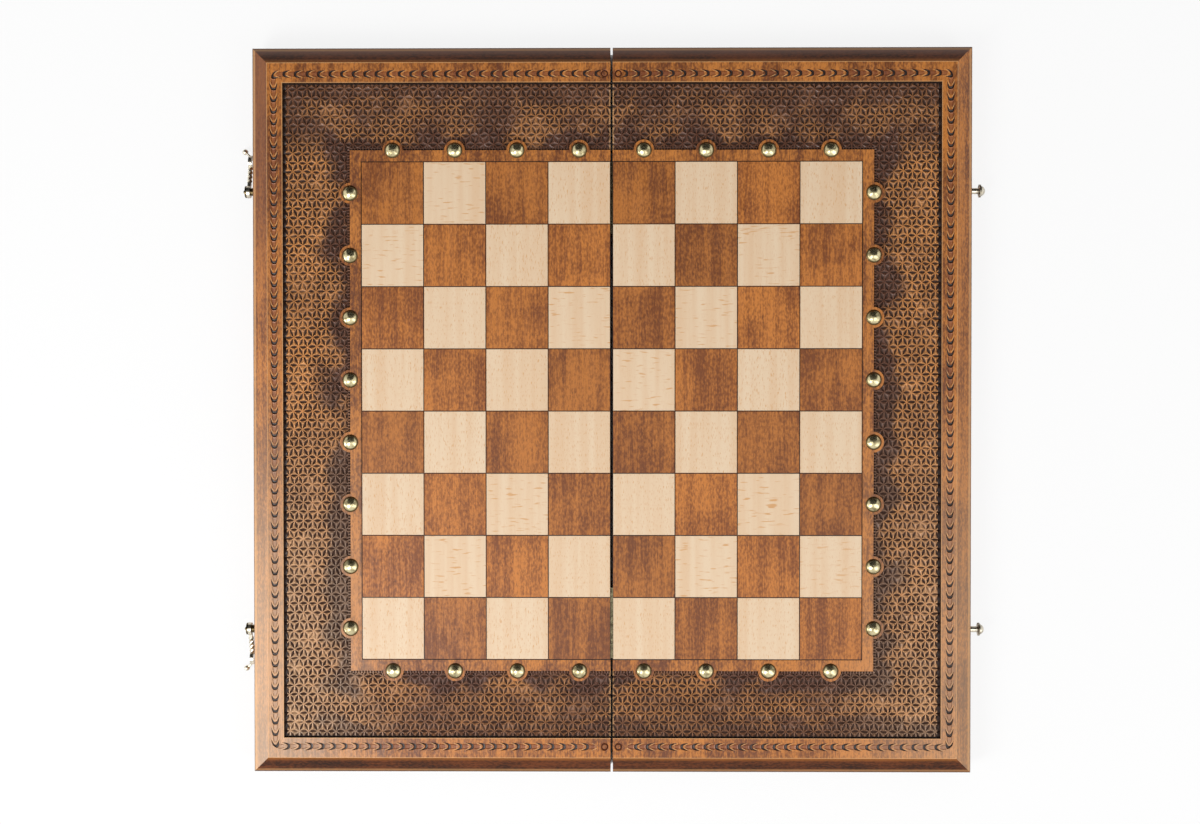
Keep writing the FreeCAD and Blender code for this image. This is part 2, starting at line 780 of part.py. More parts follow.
def swing_hook(end_name, end):
    """Hook in its own frame: X to the tip, Z away from the wall; the claw's mouth leads the closing swing."""
    body = new_body(f"{end_name}_hook")
    mouth = end
    eye = sketch_on(body, "XY_Plane", "Eye", EYE_FOOT)
    add_circle(eye, "0", "0", "eye_radius")
    pad(body, eye, "eye_thickness")
    neck = sketch_on(body, "XY_Plane", "Neck", EYE_FOOT)
    add_box_outline(neck, ("0", "-neck_width / 2"), ("neck_length", "neck_width / 2"))
    pad(body, neck, "eye_thickness")
    hole = sketch_on(body, "XY_Plane", "Pivot_hole", EYE_FOOT)
    add_circle(hole, "0", "0", "pivot_radius + pivot_fit")
    pocket(body, hole, "eye_thickness", reverse=True)
    loft(body, [shank_section(body, step) for step in range(SHANK_STEPS + 1)])

    ring = sketch_on(body, "XY_Plane", "Claw", CLAW_FOOT)
    add_circle(ring, LATCH_REACH, "0", CLAW_OUTER)
    pad(body, ring, "claw_thickness")
    inside = sketch_on(body, "XY_Plane", "Claw_inside", f"{CLAW_FOOT} - claw_thickness")
    add_circle(inside, LATCH_REACH, "0", CLAW_INNER)
    pocket(body, inside, "3 * claw_thickness", reverse=True)
    opening = sketch_on(body, "XY_Plane", "Mouth", CLAW_FOOT)
    near, far = f"{LATCH_REACH} - {CLAW_OUTER}", f"{LATCH_REACH} + 2 * {CLAW_OUTER}"
    lip, beyond = f"{mouth} * claw_lip", f"{mouth} * 2 * {CLAW_OUTER}"
    steps = [(near, lip), (LATCH_REACH, lip), (LATCH_REACH, "0"), (far, "0"), (far, beyond), (near, beyond)]
    add_outline(opening, steps)
    pocket(body, opening, "claw_thickness", reverse=True)
    leg = sketch_on(body, "XY_Plane", "Leg", CLAW_FOOT)
    low = (f"{LATCH_REACH} + {CLAW_INNER}", "0")
    add_box_outline(leg, low, (f"{LATCH_REACH} + {CLAW_OUTER}", f"{mouth} * claw_leg"))
    pad(body, leg, "claw_thickness")

    root = sketch_on(body, "YZ_Plane", "Finger_root", f"{LATCH_REACH} + {CLAW_INNER} + claw_band / 2")
    add_circle(root, "0", HOOK_MIDDLE, "finger_radius")
    tip = sketch_on(body, "YZ_Plane", "Finger_tip", f"{LATCH_REACH} + finger_reach")
    add_circle(tip, "0", BALL_MIDDLE, "finger_radius")
    loft(body, [root, tip])
    ball = body.newObject("PartDesign::AdditiveSphere", "Finger_ball")
    bind(ball, "Radius", "ball_radius")
    bind_place(ball, f"{LATCH_REACH} + finger_reach", "0", BALL_MIDDLE)

    droop = Rotation(Vector(1, 0, 0), -end * value("droop"))
    forward = droop.multVec(Vector(0, end, 0))
    outward = Vector(-1, 0, 0)
    body.Placement = Placement(Vector(), Rotation(forward, outward.cross(forward), outward, "ZXY"))
    bind_place(body, f"-{OUTER_X}", f"{end} * hook_offset", "knuckle_radius + pivot_height")
    keep(body, body.Name, placed=True)


def latch_stud(end_name, end):
    flange_top = f"({FLANGE_FOOT} + stud_flange_thickness)"
    corners = [
        ("0", "-stud_depth"),
        ("stud_tail", "-stud_depth"),
        ("stud_tail", "0"),
        ("stud_base", "0"),
        ("stud_shank", "stud_base_thickness"),
        ("stud_shank", FLANGE_FOOT),
        ("stud_flange", FLANGE_FOOT),
        ("stud_flange", flange_top),
        ("stud_dome_radius", flange_top),
        ("0", f"{flange_top} + stud_dome"),
    ]
    body = lathe(f"{end_name}_latch_stud", corners, dome=8)
    stand_on_wall(body, 1, end, "stud_height")
    keep(body, body.Name, placed=True)


# Assembly


def build():
    fill_sheet()
    nail = nail_master()
    screw = screw_master()
    for name, side in SIDES.items():
        outer_rail(name, side)
        for end_name, end in ENDS.items():
            end_rail(name, side, end_name, end)
        hinge_rail(name, side)
        carved_panel(name, side)
        squares(name, side, "dark", 1)
        squares(name, side, "light", 0)
        upright = Rotation()
        copies(f"{name}_brass_nails", nail, [((x, y, "board_height"), upright) for x, y in nail_spots(side)])
        backgammon_field(name, side)
        points(name, side, "dark", 0)
        points(name, side, "light", 1)
        leaf = leaf_master(name, side)
        countersink(leaf, side)
        leaf_places = [(("0", f"{end} * hinge_offset", "0"), upright) for end in ENDS.values()]
        copies(f"{name}_hinge_leaves", leaf, leaf_places)
        towards_seam = Rotation(Vector(0, 1, 0), -90 * side)
        screw_places = [((f"{side} * leaf_clearance", y, z), towards_seam) for y, z in screw_spots()]
        copies(f"{name}_hinge_screws", screw, screw_places)
    hinge_pins()
    outwards = Rotation(Vector(0, 1, 0), -90)
    pin_places = [((f"-{OUTER_X}", plate_pin_y(end), "pivot_height"), outwards) for end in ENDS.values()]
    copies("hook_plate_pins", plate_pin_master(), pin_places)
    for end_name, end in ENDS.items():
        hook_plate(end_name, end)
        hook_pivot(end_name, end)
        swing_hook(end_name, end)
        latch_stud(end_name, end)
    doc.recompute()


def check():
    for item in doc.Objects:
        if "Invalid" in item.State or "Error" in item.State:
            raise RuntimeError(f"{item.Label} is in state {item.State}: {item.getStatusString()}")
    for cut in cuts:
        if cut.BaseFeature.Shape.Volume - cut.Shape.Volume <= 0:
            raise RuntimeError(f"{cut.Label} of {cut.getParent().Label} removes nothing")
    for item in nodes:
        if item.Shape.isNull() or not item.Shape.isValid():
            raise RuntimeError(f"{item.Label} has no valid shape")


def export():
    os.makedirs("parts", exist_ok=True)
    for item in nodes:
        item.Shape.exportStep(f"parts/{item.Label}.step")
        print(item.Label, len(item.Shape.Solids), round(item.Shape.Volume, 1))


build()
check()
export()
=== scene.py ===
"""Dresses the folding chess and backgammon board: carving, chain border, dome nails, finishes and studio.

Metres, +Z up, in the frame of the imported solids. Run as a script, it registers its operators and calls them.
"""

import math
import random
from contextlib import contextmanager
from functools import partialmethod

import bmesh
import bpy
from bpy.props import FloatProperty, FloatVectorProperty, PointerProperty
from mathutils import Matrix, Vector, noise


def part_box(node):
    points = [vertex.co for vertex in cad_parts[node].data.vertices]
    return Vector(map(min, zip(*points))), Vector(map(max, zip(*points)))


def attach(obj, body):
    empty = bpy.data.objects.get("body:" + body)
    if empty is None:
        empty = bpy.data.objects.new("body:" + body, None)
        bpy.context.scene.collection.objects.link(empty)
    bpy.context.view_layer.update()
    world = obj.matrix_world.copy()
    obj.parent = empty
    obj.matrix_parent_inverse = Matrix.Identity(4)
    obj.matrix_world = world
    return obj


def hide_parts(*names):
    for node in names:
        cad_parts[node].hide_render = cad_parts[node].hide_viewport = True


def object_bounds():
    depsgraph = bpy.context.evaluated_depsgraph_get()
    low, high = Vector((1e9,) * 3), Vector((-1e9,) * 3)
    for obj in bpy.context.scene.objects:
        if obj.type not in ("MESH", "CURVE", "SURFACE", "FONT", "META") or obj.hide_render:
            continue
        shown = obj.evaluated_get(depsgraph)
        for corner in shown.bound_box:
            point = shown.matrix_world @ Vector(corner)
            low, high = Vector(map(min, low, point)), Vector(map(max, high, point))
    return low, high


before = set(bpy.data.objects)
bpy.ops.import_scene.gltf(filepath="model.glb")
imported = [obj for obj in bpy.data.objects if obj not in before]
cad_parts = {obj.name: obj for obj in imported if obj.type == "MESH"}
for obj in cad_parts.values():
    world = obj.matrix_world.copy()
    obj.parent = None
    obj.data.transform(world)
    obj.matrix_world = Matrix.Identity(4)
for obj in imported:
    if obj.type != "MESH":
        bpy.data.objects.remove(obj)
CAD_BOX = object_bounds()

bl_info = {
    "name": "Folding Chess and Backgammon Board",
    "version": (1, 0, 0),
    "blender": (4, 5, 0),
    "location": "3D View > Sidebar > Board",
    "description": "Carves, finishes and lights a folding chess and backgammon board",
    "category": "Object",
}

MM = 0.001
SIDES = {"left": -1, "right": 1}

# Places on the right half, worked out from its solids and their widths; the left half is its mirror image
PANEL_LOW, PANEL_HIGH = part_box("right_carved_panel")
SEAM_X = PANEL_LOW.x
TOP_Z = PANEL_HIGH.z
SIDE_BAND = 11 * MM
END_BAND = 14 * MM
CARVE_WIDTH = 47 * MM
CARVE_DEPTH = 2.2 * MM
CHIP_DEPTH = 1.2 * MM
GROUND_X = PANEL_HIGH.x - SIDE_BAND
GROUND_Y = PANEL_HIGH.y - END_BAND
STRIP_X = GROUND_X - CARVE_WIDTH
STRIP_Y = GROUND_Y - CARVE_WIDTH
FLOOR_Z = TOP_Z - CARVE_DEPTH
SQUARE = 43.3 * MM
SQUARES_ACROSS = 4
SQUARES_DEEP = 8
CHAIN_INSET = 3 * MM
CHAIN_WIDTH = 6 * MM
CHAIN_DEPTH = 1 * MM
CHAIN_X = GROUND_X + CHAIN_INSET + CHAIN_WIDTH / 2
CHAIN_Y = GROUND_Y + CHAIN_INSET + CHAIN_WIDTH / 2
NAIL_RADIUS = 5.5 * MM
NAIL_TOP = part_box("right_brass_nails")[1].z
# Below this level the dome nails turn dark: tarnish, and painted shade at their rim
NAIL_TARNISH_AND_SHADE_Z = TOP_Z + 1.7 * MM
NAIL_SEGMENTS = 28
NAIL_SEED = 16
HAMMER_SCALE = 600
HAMMER_SHARE = 0.08

# Seats, cuts, and the edges where highlights and shade are painted
SEAT = 0.05 * MM
CUT_NEAR = 0.0005 * MM
EDGE_HIGHLIGHT = 0.6 * MM
HIGHLIGHT_INSET = 1.7 * MM
RAIL_FOOT_Z = TOP_Z - 9.5 * MM
RAIL_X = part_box("right_outer_rail")[1].x
RAIL_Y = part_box("right_back_rail")[1].y
PANEL_SMOOTH = math.radians(30)
NAIL_SMOOTH = math.radians(40)

# Distances within which doubled vertices merge
MERGE_SOLID = 0.001 * MM
MERGE_NOTCHES = 0.002 * MM
MERGE_CHAIN = 0.003 * MM
MERGE_ROWS = 0.005 * MM

# Noise of the hand-cut work: the seed of its directions, then the scale and the layer of each kind
NOISE_SEED = 20
PIT_STRAY = (90, 7.3)
PIT_SHAKE = (330, 3.1)
NOTCH_SHAKE = (400, 5.7)
CHAIN_STRAY = (160, 9.2)
GOUGE_SHAKE = (60, 4.4)

# Shades of the finishes and of the painted light: where each starts and ends and, for some, its shares there
RAIL_FOOT = (RAIL_FOOT_Z - 1.2 * MM, RAIL_FOOT_Z - 0.5 * MM)
# Painted highlight near the rails' outer edge, and painted shade at that edge below the foot
RAIL_HIGHLIGHT = (0.4 * MM, 1.2 * MM)
RAIL_EDGE_SHADE = (0.9 * MM, 0.4 * MM, 0.0, 0.8)
# Painted sheen: grey towards the outer edge of the back rails
RAIL_SHEEN = (9 * MM, 1 * MM, 0.1, 0.65)
RAIL_WARM = (8.5 * MM, 11.5 * MM, 0.0, 0.35)
LEFT_RAIL_DARK = (0.0, 220 * MM, 0.0, 0.75)
# The panel darkens below the band's top: stain in the cuts, partly painted shadow in the groove by the lattice
CUT_SOOT_AND_SHADOW = (TOP_Z - 0.25 * MM, TOP_Z - 0.9 * MM)
# Painted sheen: the front corners turn pale, the left one more than the right one
SHEEN_LEFT = (-130 * MM, -250 * MM, 0.0, 0.44)
SHEEN_RIGHT = (130 * MM, 250 * MM, 0.0, 0.28)
SHEEN_FRONT = (60 * MM, -170 * MM)
STAIN_BLUR = 18 * MM
STAIN_HALO = (24 * MM, 5 * MM)
STAIN_ENDS = (CARVE_WIDTH - 18 * MM, CARVE_WIDTH - 3 * MM)
# The ground darkens towards the back: where it starts and is full, and its shares there
DARKER_BACK = (STRIP_Y - 20 * MM, STRIP_Y + 20 * MM, 0.0, 0.85)
STAIN_FRONT = (-STRIP_Y + 10 * MM, -STRIP_Y - 15 * MM, 0.0, 0.75)
SEAM_RUBBED = (SEAM_X + 0.4 * MM, SEAM_X + 1.4 * MM, 0.7, 0.0)
METAL_FADE = 0.8 * MM


def display(red, green, blue):
    """A display colour of 0 to 255 as the linear colour that shaders take."""
    shares = (channel / 255 for channel in (red, green, blue))
    return tuple(c / 12.92 if c <= 0.04045 else ((c + 0.055) / 1.055) ** 2.4 for c in shares) + (1.0,)


def length(name, description, default):
    settings = {"min": 0, "precision": 5, "unit": "LENGTH"}
    return FloatProperty(name=name, description=description, default=default, **settings)


def colour(name, description, *shown):
    return FloatVectorProperty(
        name=name, description=description, default=display(*shown), size=4, min=0, max=1, subtype="COLOR"
    )


def watts(name, description, default):
    return FloatProperty(name=name, description=description, default=default, min=0, unit="POWER")


class BoardCarving(bpy.types.PropertyGroup):
    """Sizes of the hand-cut ornament."""

    pit_pitch: length("Pit pitch", "Distance between pits along a row", 6.5 * MM)
    pit_row: length("Pit rows", "Distance between rows of pits", 6.4 * MM)
    pit_width: length("Pit width", "Widest part of a pit", 3.6 * MM)
    pit_depth: length("Pit depth", "Depth of a pit at its middle", 1.25 * MM)
    ridge_rise: length("Ridge rise", "Height of the ridges over the solid's ground", 0.3 * MM)
    ground_drop: length("Ground drop", "How far the solid's ground is let down under the pits", 1.1 * MM)
    wobble: length("Hand wobble", "How far the cuts stray from a true lattice", 0.8 * MM)
    side_groove: length("Side groove", "Groove between the lattice and the side band", 2.1 * MM)
    end_groove: length("End groove", "Groove between the lattice and the end bands", 1.1 * MM)
    notch_pitch: length("Notch pitch", "Distance between the notches along the border", 2.0 * MM)
    notch_length: length("Notch length", "Length of a notch, out from the border", 2.0 * MM)
    chain_pitch: length("Chain pitch", "Length of one link of the chain", 8.05 * MM)
    gouge_depth: length("Gouge depth", "Depth of the cup-shaped cuts of the chain", 0.85 * MM)


class BoardColours(bpy.types.PropertyGroup):
    """Colours of the finishes and of the painted sheen, highlights and shade."""

    stained: colour("Stained wood", "Band, strip and rails where the stain is thin", 202, 126, 54)
    stained_deep: colour("Deep stained wood", "Band, strip and rails where the stain is thick", 108, 56, 22)
    # Darker than the side rails: partly a darker stain, partly painted shade on their bevels
    end_rail: colour("End rails", "Back and front rails: thin stain, partly painted shade", 106, 56, 28)
    end_rail_deep: colour("Deep end rails", "Back and front rails: thick stain, partly painted shade", 48, 27, 17)
    # Painted sheen: the grey laid along the back rails' outer edge
    back_rail_sheen: colour("Back rail sheen", "Grey cast along the outer edge of the back rails", 134, 110, 102)
    # Also the colour of the painted highlights on the rails, the band's edges and the chain
    worn: colour("Worn edges and painted highlights", "Edges rubbed down to pale wood, and painted highlights", 226, 174, 118)
    # Painted sheen: the pale colour laid on the front corners
    painted_sheen: colour("Painted front sheen", "Pale colour painted on the front corners as sheen", 214, 184, 150)
    # Also painted shade: the dark line along the rails' outer edge and the groove beside the lattice
    soot_and_shade: colour("Cut bottoms", "Stain that gathers in the cuts, and painted shade", 62, 37, 24)
    chain_cut: colour("Chain cuts", "Stain in the cup-shaped cuts of the chain", 38, 23, 16)
    bloom: colour("Stem stain", "Stain between the cuts of the chain", 132, 72, 42)
    ground: colour("Carved ground", "Rubbed ridges of the carved ground", 238, 164, 92)
    ground_deep: colour("Dark carved ground", "Ridges of the carved ground under thick stain", 104, 65, 46)
    maple: colour("Light squares", "Pale veneer", 234, 208, 176)
    maple_figure: colour("Light figure", "Flecks and pores of the pale veneer", 214, 160, 104)
    walnut: colour("Dark squares", "Brown veneer", 198, 122, 52)
    walnut_deep: colour("Dark streaks", "Streaks of the brown veneer", 122, 64, 22)
    brass: colour("Brass", "Polished dome nails", 212, 200, 158)
    # Also painted shade at the foot of the dome nails
    brass_old: colour("Old brass", "Tarnish on the brass", 84, 70, 38)
    hook_metal: colour("Hook metal", "Bright worn hooks", 220, 212, 194)
    # Also the colour of the pivots and plates: partly tarnish, partly painted shade
    metal_old: colour("Old hook metal", "Tarnish on the hooks, studs and pivots", 92, 80, 58)


class BoardStudio(bpy.types.PropertyGroup):
    """Camera and lamps."""

    lens: FloatProperty(name="Lens", description="Focal length", default=50, unit="CAMERA")
    camera_place: FloatVectorProperty(
        name="Camera place",
        description="Where the camera hangs",
        default=(0.0039, 0.0158, 1.1945),
        subtype="TRANSLATION",
    )
    camera_turn: FloatVectorProperty(
        name="Camera turn",
        description="How the camera leans from straight down",
        default=(math.radians(-0.814), math.radians(0.591), math.radians(-0.02)),
        subtype="EULER",
    )
    left_lamp: watts("Left lamp", "Power of the lamp high on the left", 9.5)
    right_lamp: watts("Right lamp", "Power of the lamp high on the right", 6.5)
    low_lamp: watts("Low lamp", "Power of the lamp low on the left", 4.5)
    ambient: FloatProperty(name="Ambient", description="Strength of the light from all round", default=0.4)


# Modelling helpers


def deselect():
    bpy.ops.object.select_all(action="DESELECT")


def pick(*pieces):
    """Selects pieces and makes the last one active."""
    deselect()
    for piece in pieces:
        piece.select_set(True)
    bpy.context.view_layer.objects.active = pieces[-1]


def take(name):
    """Names the object that an operator has just added."""
    made = bpy.context.object
    made.name = made.data.name = name
    return made


@contextmanager
def editing(piece):
    """Edit mode on one piece alone."""
    pick(piece)
    bpy.ops.object.mode_set(mode="EDIT")
    bpy.ops.mesh.select_mode(type="VERT")
    bpy.ops.mesh.select_all(action="SELECT")
    yield
    bpy.ops.object.mode_set(mode="OBJECT")


def edit_mesh():
    return bmesh.from_edit_mesh(bpy.context.object.data)


def select_where(kind, wanted):
    """Selects the vertices, edges or faces of the piece in hand that pass a test."""
    bpy.ops.mesh.select_mode(type=kind)
    bpy.ops.mesh.select_all(action="DESELECT")
    mesh = edit_mesh()
    for item in {"VERT": mesh.verts, "EDGE": mesh.edges, "FACE": mesh.faces}[kind]:
        if wanted(item):
            item.select_set(True)
    mesh.select_flush_mode()
    bmesh.update_edit_mesh(bpy.context.object.data)


def move_vertices(place):
    """Moves every vertex of the piece in hand to place(co)."""
    mesh = edit_mesh()
    for vertex in mesh.verts:
        vertex.co = place(vertex.co)
    bmesh.update_edit_mesh(bpy.context.object.data)


def grid(name, columns, rows):
    """A flat grid to be shaped."""
    deselect()
    bpy.ops.mesh.primitive_grid_add(x_subdivisions=columns, y_subdivisions=rows, size=1)
    return take(name)


def cut(point, normal, drop_outer=True):
    bpy.ops.mesh.select_all(action="SELECT")
    bpy.ops.mesh.bisect(plane_co=point, plane_no=normal, clear_outer=drop_outer, threshold=CUT_NEAR)


def stand_on(level):
    """Closes an open relief: its rim goes straight down to a level, and a flat underside joins it."""
    select_where("EDGE", lambda edge: edge.is_boundary)
    bpy.ops.mesh.extrude_edges_move()
    mesh = edit_mesh()
    for vertex in mesh.verts:
        if vertex.select:
            vertex.co.z = level
    bmesh.update_edit_mesh(bpy.context.object.data)
    bpy.ops.mesh.edge_face_add()
    bpy.ops.mesh.select_all(action="SELECT")
    bpy.ops.mesh.normals_make_consistent(inside=False)


def repeat(piece, count, step):
    """Repeats a piece in a row with a modifier and applies it."""
    pick(piece)
    row = piece.modifiers.new("Row", "ARRAY")
    row.count = count
    row.use_relative_offset = False
    row.use_constant_offset = True
    row.constant_offset_displace = step
    row.use_merge_vertices = True
    row.merge_threshold = MERGE_ROWS
    bpy.ops.object.modifier_apply(modifier=row.name)


def noise_place(x, y, sign, kind):
    """Where one kind of noise is read for a spot on one half."""
    scale, layer = kind
    return Vector((x * scale, y * scale, sign * layer))


def put_on(piece, side, material):
    """Gives a finished piece its material and the half that carries it."""
    piece.data.materials.clear()
    piece.data.materials.append(material)
    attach(piece, f"{side}_half")


def round_half(along, out, reach_x, reach_y, radius):
    """A place on a path round the right half, from the seam at the far end to the seam at the near end."""
    run = reach_x - radius - SEAM_X
    arc = math.pi / 2 * radius
    half = run + arc + reach_y - radius
    if along > half:
        x, y = round_half(2 * half - along, out, reach_x, reach_y, radius)
        return x, -y
    if along < run:
        return SEAM_X + along, reach_y + out
    if along < run + arc:
        turn = (along - run) / radius
        reach = radius + out
        return reach_x - radius + reach * math.sin(turn), reach_y - radius + reach * math.cos(turn)
    return reach_x + out, half - along


def path_length(reach_x, reach_y, radius):
    return 2 * (reach_x - radius - SEAM_X + math.pi / 2 * radius + reach_y - radius)


# Shader helpers


class Shader:
    """Adds nodes to one tree. A socket given as an input is linked, and anything else is its value."""

    def __init__(self, tree):
        self.tree = tree

    def node(self, kind, inputs=(), **settings):
        made = self.tree.nodes.new(kind)
        for key, value in settings.items():
            setattr(made, key, value)
        for key, value in dict(inputs).items():
            self.feed(made.inputs[key], value)
        return made

    def feed(self, socket, value):
        if isinstance(value, bpy.types.NodeSocket):
            self.tree.links.new(value, socket)
        else:
            socket.default_value = value

    def maths(self, operation, first, second=0.0):
        return self.node("ShaderNodeMath", {0: first, 1: second}, operation=operation).outputs[0]

    times = partialmethod(maths, "MULTIPLY")
    plus = partialmethod(maths, "ADD")
    minus = partialmethod(maths, "SUBTRACT")
    larger = partialmethod(maths, "MAXIMUM")
    size = partialmethod(maths, "ABSOLUTE")

    def mix(self, share, first, second, blend="MIX"):
        inputs = {0: share, 6: first, 7: second}
        return self.node("ShaderNodeMix", inputs, data_type="RGBA", blend_type=blend).outputs[2]

    def span(self, value, low, high, first=0.0, last=1.0):
        """Maps low to first and high to last, smoothly and within those ends."""
        inputs = {"Value": value, "From Min": low, "From Max": high, "To Min": first, "To Max": last}
        return self.node("ShaderNodeMapRange", inputs, interpolation_type="SMOOTHSTEP").outputs[0]

    def noise(self, vector, scale, detail=2.0):
        inputs = {"Vector": vector, "Scale": scale, "Detail": detail}
        return self.node("ShaderNodeTexNoise", inputs).outputs[0]

    def vector(self, operation, first, second):
        return self.node("ShaderNodeVectorMath", {0: first, 1: second}, operation=operation).outputs[0]

    def axes(self, vector):
        return self.node("ShaderNodeSeparateXYZ", {0: vector}).outputs

    def group(self, tree, inputs):
        return self.node("ShaderNodeGroup", inputs, node_tree=tree).outputs

    def bump(self, height, strength, distance):
        inputs = {"Height": height, "Strength": strength, "Distance": distance}
        return self.node("ShaderNodeBump", inputs).outputs[0]


def shader_group(name, inputs, outputs, wire):
    """A shared effect; wire(shader, inputs) returns its outputs by name."""
    if name in bpy.data.node_groups:
        return bpy.data.node_groups[name]
    tree = bpy.data.node_groups.new(name, "ShaderNodeTree")
    for socket, kind in inputs.items():
        tree.interface.new_socket(socket, in_out="INPUT", socket_type=kind)
    for socket in outputs:
        tree.interface.new_socket(socket, in_out="OUTPUT", socket_type="NodeSocketFloat")
    source = tree.nodes.new("NodeGroupInput").outputs
    sink = tree.nodes.new("NodeGroupOutput").inputs
    shader = Shader(tree)
    for socket, value in wire(shader, source).items():
        shader.feed(sink[socket], value)
    return tree


# Masks of the timber grain: stretch of the noise along each axis, its detail, and where the mask starts and
# is full
GRAIN = {
    "Streak": ((150, 5, 150), 3.0, 0.3, 0.7),
    "Fibre": ((1300, 45, 1300), 2.0, 0.3, 0.7),
    "Pore": ((2000, 330, 2000), 1.0, 0.58, 0.72),
    "Ray": ((110, 720, 110), 1.0, 0.6, 0.74),
    "Mottle": ((720, 380, 720), 3.0, 0.32, 0.68),
}


def timber_grain():
    """Streaks, fibres, pores, rays and mottle of beech, with the grain along Y."""

    def wire(shader, source):
        masks = {}
        for name, (stretch, detail, start, full) in GRAIN.items():
            place = shader.vector("MULTIPLY", source["Vector"], stretch)
            masks[name] = shader.span(shader.noise(place, 1.0, detail), start, full)
        return masks

    return shader_group("Timber grain", {"Vector": "NodeSocketVector"}, GRAIN, wire)


def stain_cloud():
    """Uneven patches where the stain went on thick."""

    def wire(shader, source):
        broad = shader.noise(source["Vector"], source["Scale"], 3.0)
        return {"Cloud": shader.span(broad, 0.36, 0.64)}

    return shader_group(
        "Stain cloud", {"Vector": "NodeSocketVector", "Scale": "NodeSocketFloat"}, ["Cloud"], wire
    )


def painted_sheen_corners():
    """Painted sheen: front corners turned pale, the left one more than the right one."""

    def wire(shader, source):
        x, y, _ = shader.axes(source["Vector"])
        left = shader.span(x, *SHEEN_LEFT)
        right = shader.span(x, *SHEEN_RIGHT)
        front = shader.span(y, *SHEEN_FRONT)
        return {"Share": shader.times(shader.larger(left, right), front)}

    return shader_group("Faded corners", {"Vector": "NodeSocketVector"}, ["Share"], wire)


def metal_age():
    """Tarnish and fine scratches on worn metal."""

    def wire(shader, source):
        patches = shader.noise(source["Vector"], 260.0, 4.0)
        scratches = shader.noise(shader.vector("MULTIPLY", source["Vector"], (900, 4200, 2400)), 1.0, 2.0)
        return {"Tarnish": shader.span(patches, 0.42, 0.7), "Scratch": shader.span(scratches, 0.35, 0.75)}

    return shader_group("Metal age", {"Vector": "NodeSocketVector"}, ["Tarnish", "Scratch"], wire)


def new_material(name, **values):
    """A material and its principled shader, which gets the values."""
    made = bpy.data.materials.new(name)
    made.use_nodes = True
    principled = made.node_tree.nodes["Principled BSDF"]
    for socket, value in values.items():
        principled.inputs[socket.replace("_", " ")].default_value = value
    return made, principled


def finish(name, wire, **values):
    """A material; wire(shader, object coordinates) returns what feeds the principled shader."""
    made, principled = new_material(name, **values)
    shader = Shader(made.node_tree)
    coordinates = shader.node("ShaderNodeTexCoord").outputs["Object"]
    for socket, value in wire(shader, coordinates).items():
        shader.feed(principled.inputs[socket], value)
    return made


def grain_across(shader, place):
    """Turns coordinates so that the grain runs along X."""
    return shader.node("ShaderNodeMapping", {"Vector": place, "Rotation": (0, 0, math.pi / 2)}).outputs[0]


def stained_timber(shader, place, light, deep):
    """Base colour, roughness and normal of stained beech."""
    grain = shader.group(timber_grain(), {"Vector": place})
    cloud = shader.group(stain_cloud(), {"Vector": place, "Scale": 22.0})["Cloud"]
    tone = shader.times(grain["Streak"], 0.35)
    for mask, share in ((grain["Fibre"], 0.25), (grain["Mottle"], 0.4), (cloud, 0.3)):
        tone = shader.plus(tone, shader.times(mask, share))
    tone = shader.span(tone, 0.2, 1.1)
    wood = shader.mix(tone, light, deep)
    wood = shader.mix(shader.times(grain["Pore"], 0.55), wood, [c * 0.4 for c in deep[:3]] + [1.0])
    rough = shader.span(grain["Fibre"], 0.0, 1.0, 0.36, 0.5)
    height = shader.minus(grain["Fibre"], grain["Pore"])
    return {"Base Color": wood, "Roughness": rough, "Normal": shader.bump(height, 0.25, 0.05 * MM)}


# Share of the painted sheen on the front corners
def painted_sheen_share(shader, place):
    return shader.group(painted_sheen_corners(), {"Vector": place})["Share"]


def paint_sheen(shader, place, wood, painted_sheen):
    """Wood with painted sheen on its front corners."""
    return shader.mix(painted_sheen_share(shader, place), wood, painted_sheen)


def band_edge_highlights(shader, x, y):
    """Painted highlights: thin pale lines along the outer and the inner edge of the band."""
    lines = 0.0
    for reach_x, reach_y in ((PANEL_HIGH.x, PANEL_HIGH.y), (GROUND_X, GROUND_Y)):
        out_x = shader.minus(shader.size(x), reach_x)
        out_y = shader.minus(shader.size(y), reach_y)
        off = shader.size(shader.larger(out_x, out_y))
        lines = shader.larger(lines, shader.span(off, 0.3 * EDGE_HIGHLIGHT, EDGE_HIGHLIGHT, 1.0, 0.0))
    return lines


def assign(material, *names):
    for name in names:
        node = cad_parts[name]
        node.data.materials.clear()
        node.data.materials.append(material)


def both(*names):
    return [f"{side}_{name}" for side in SIDES for name in names]


# Operators


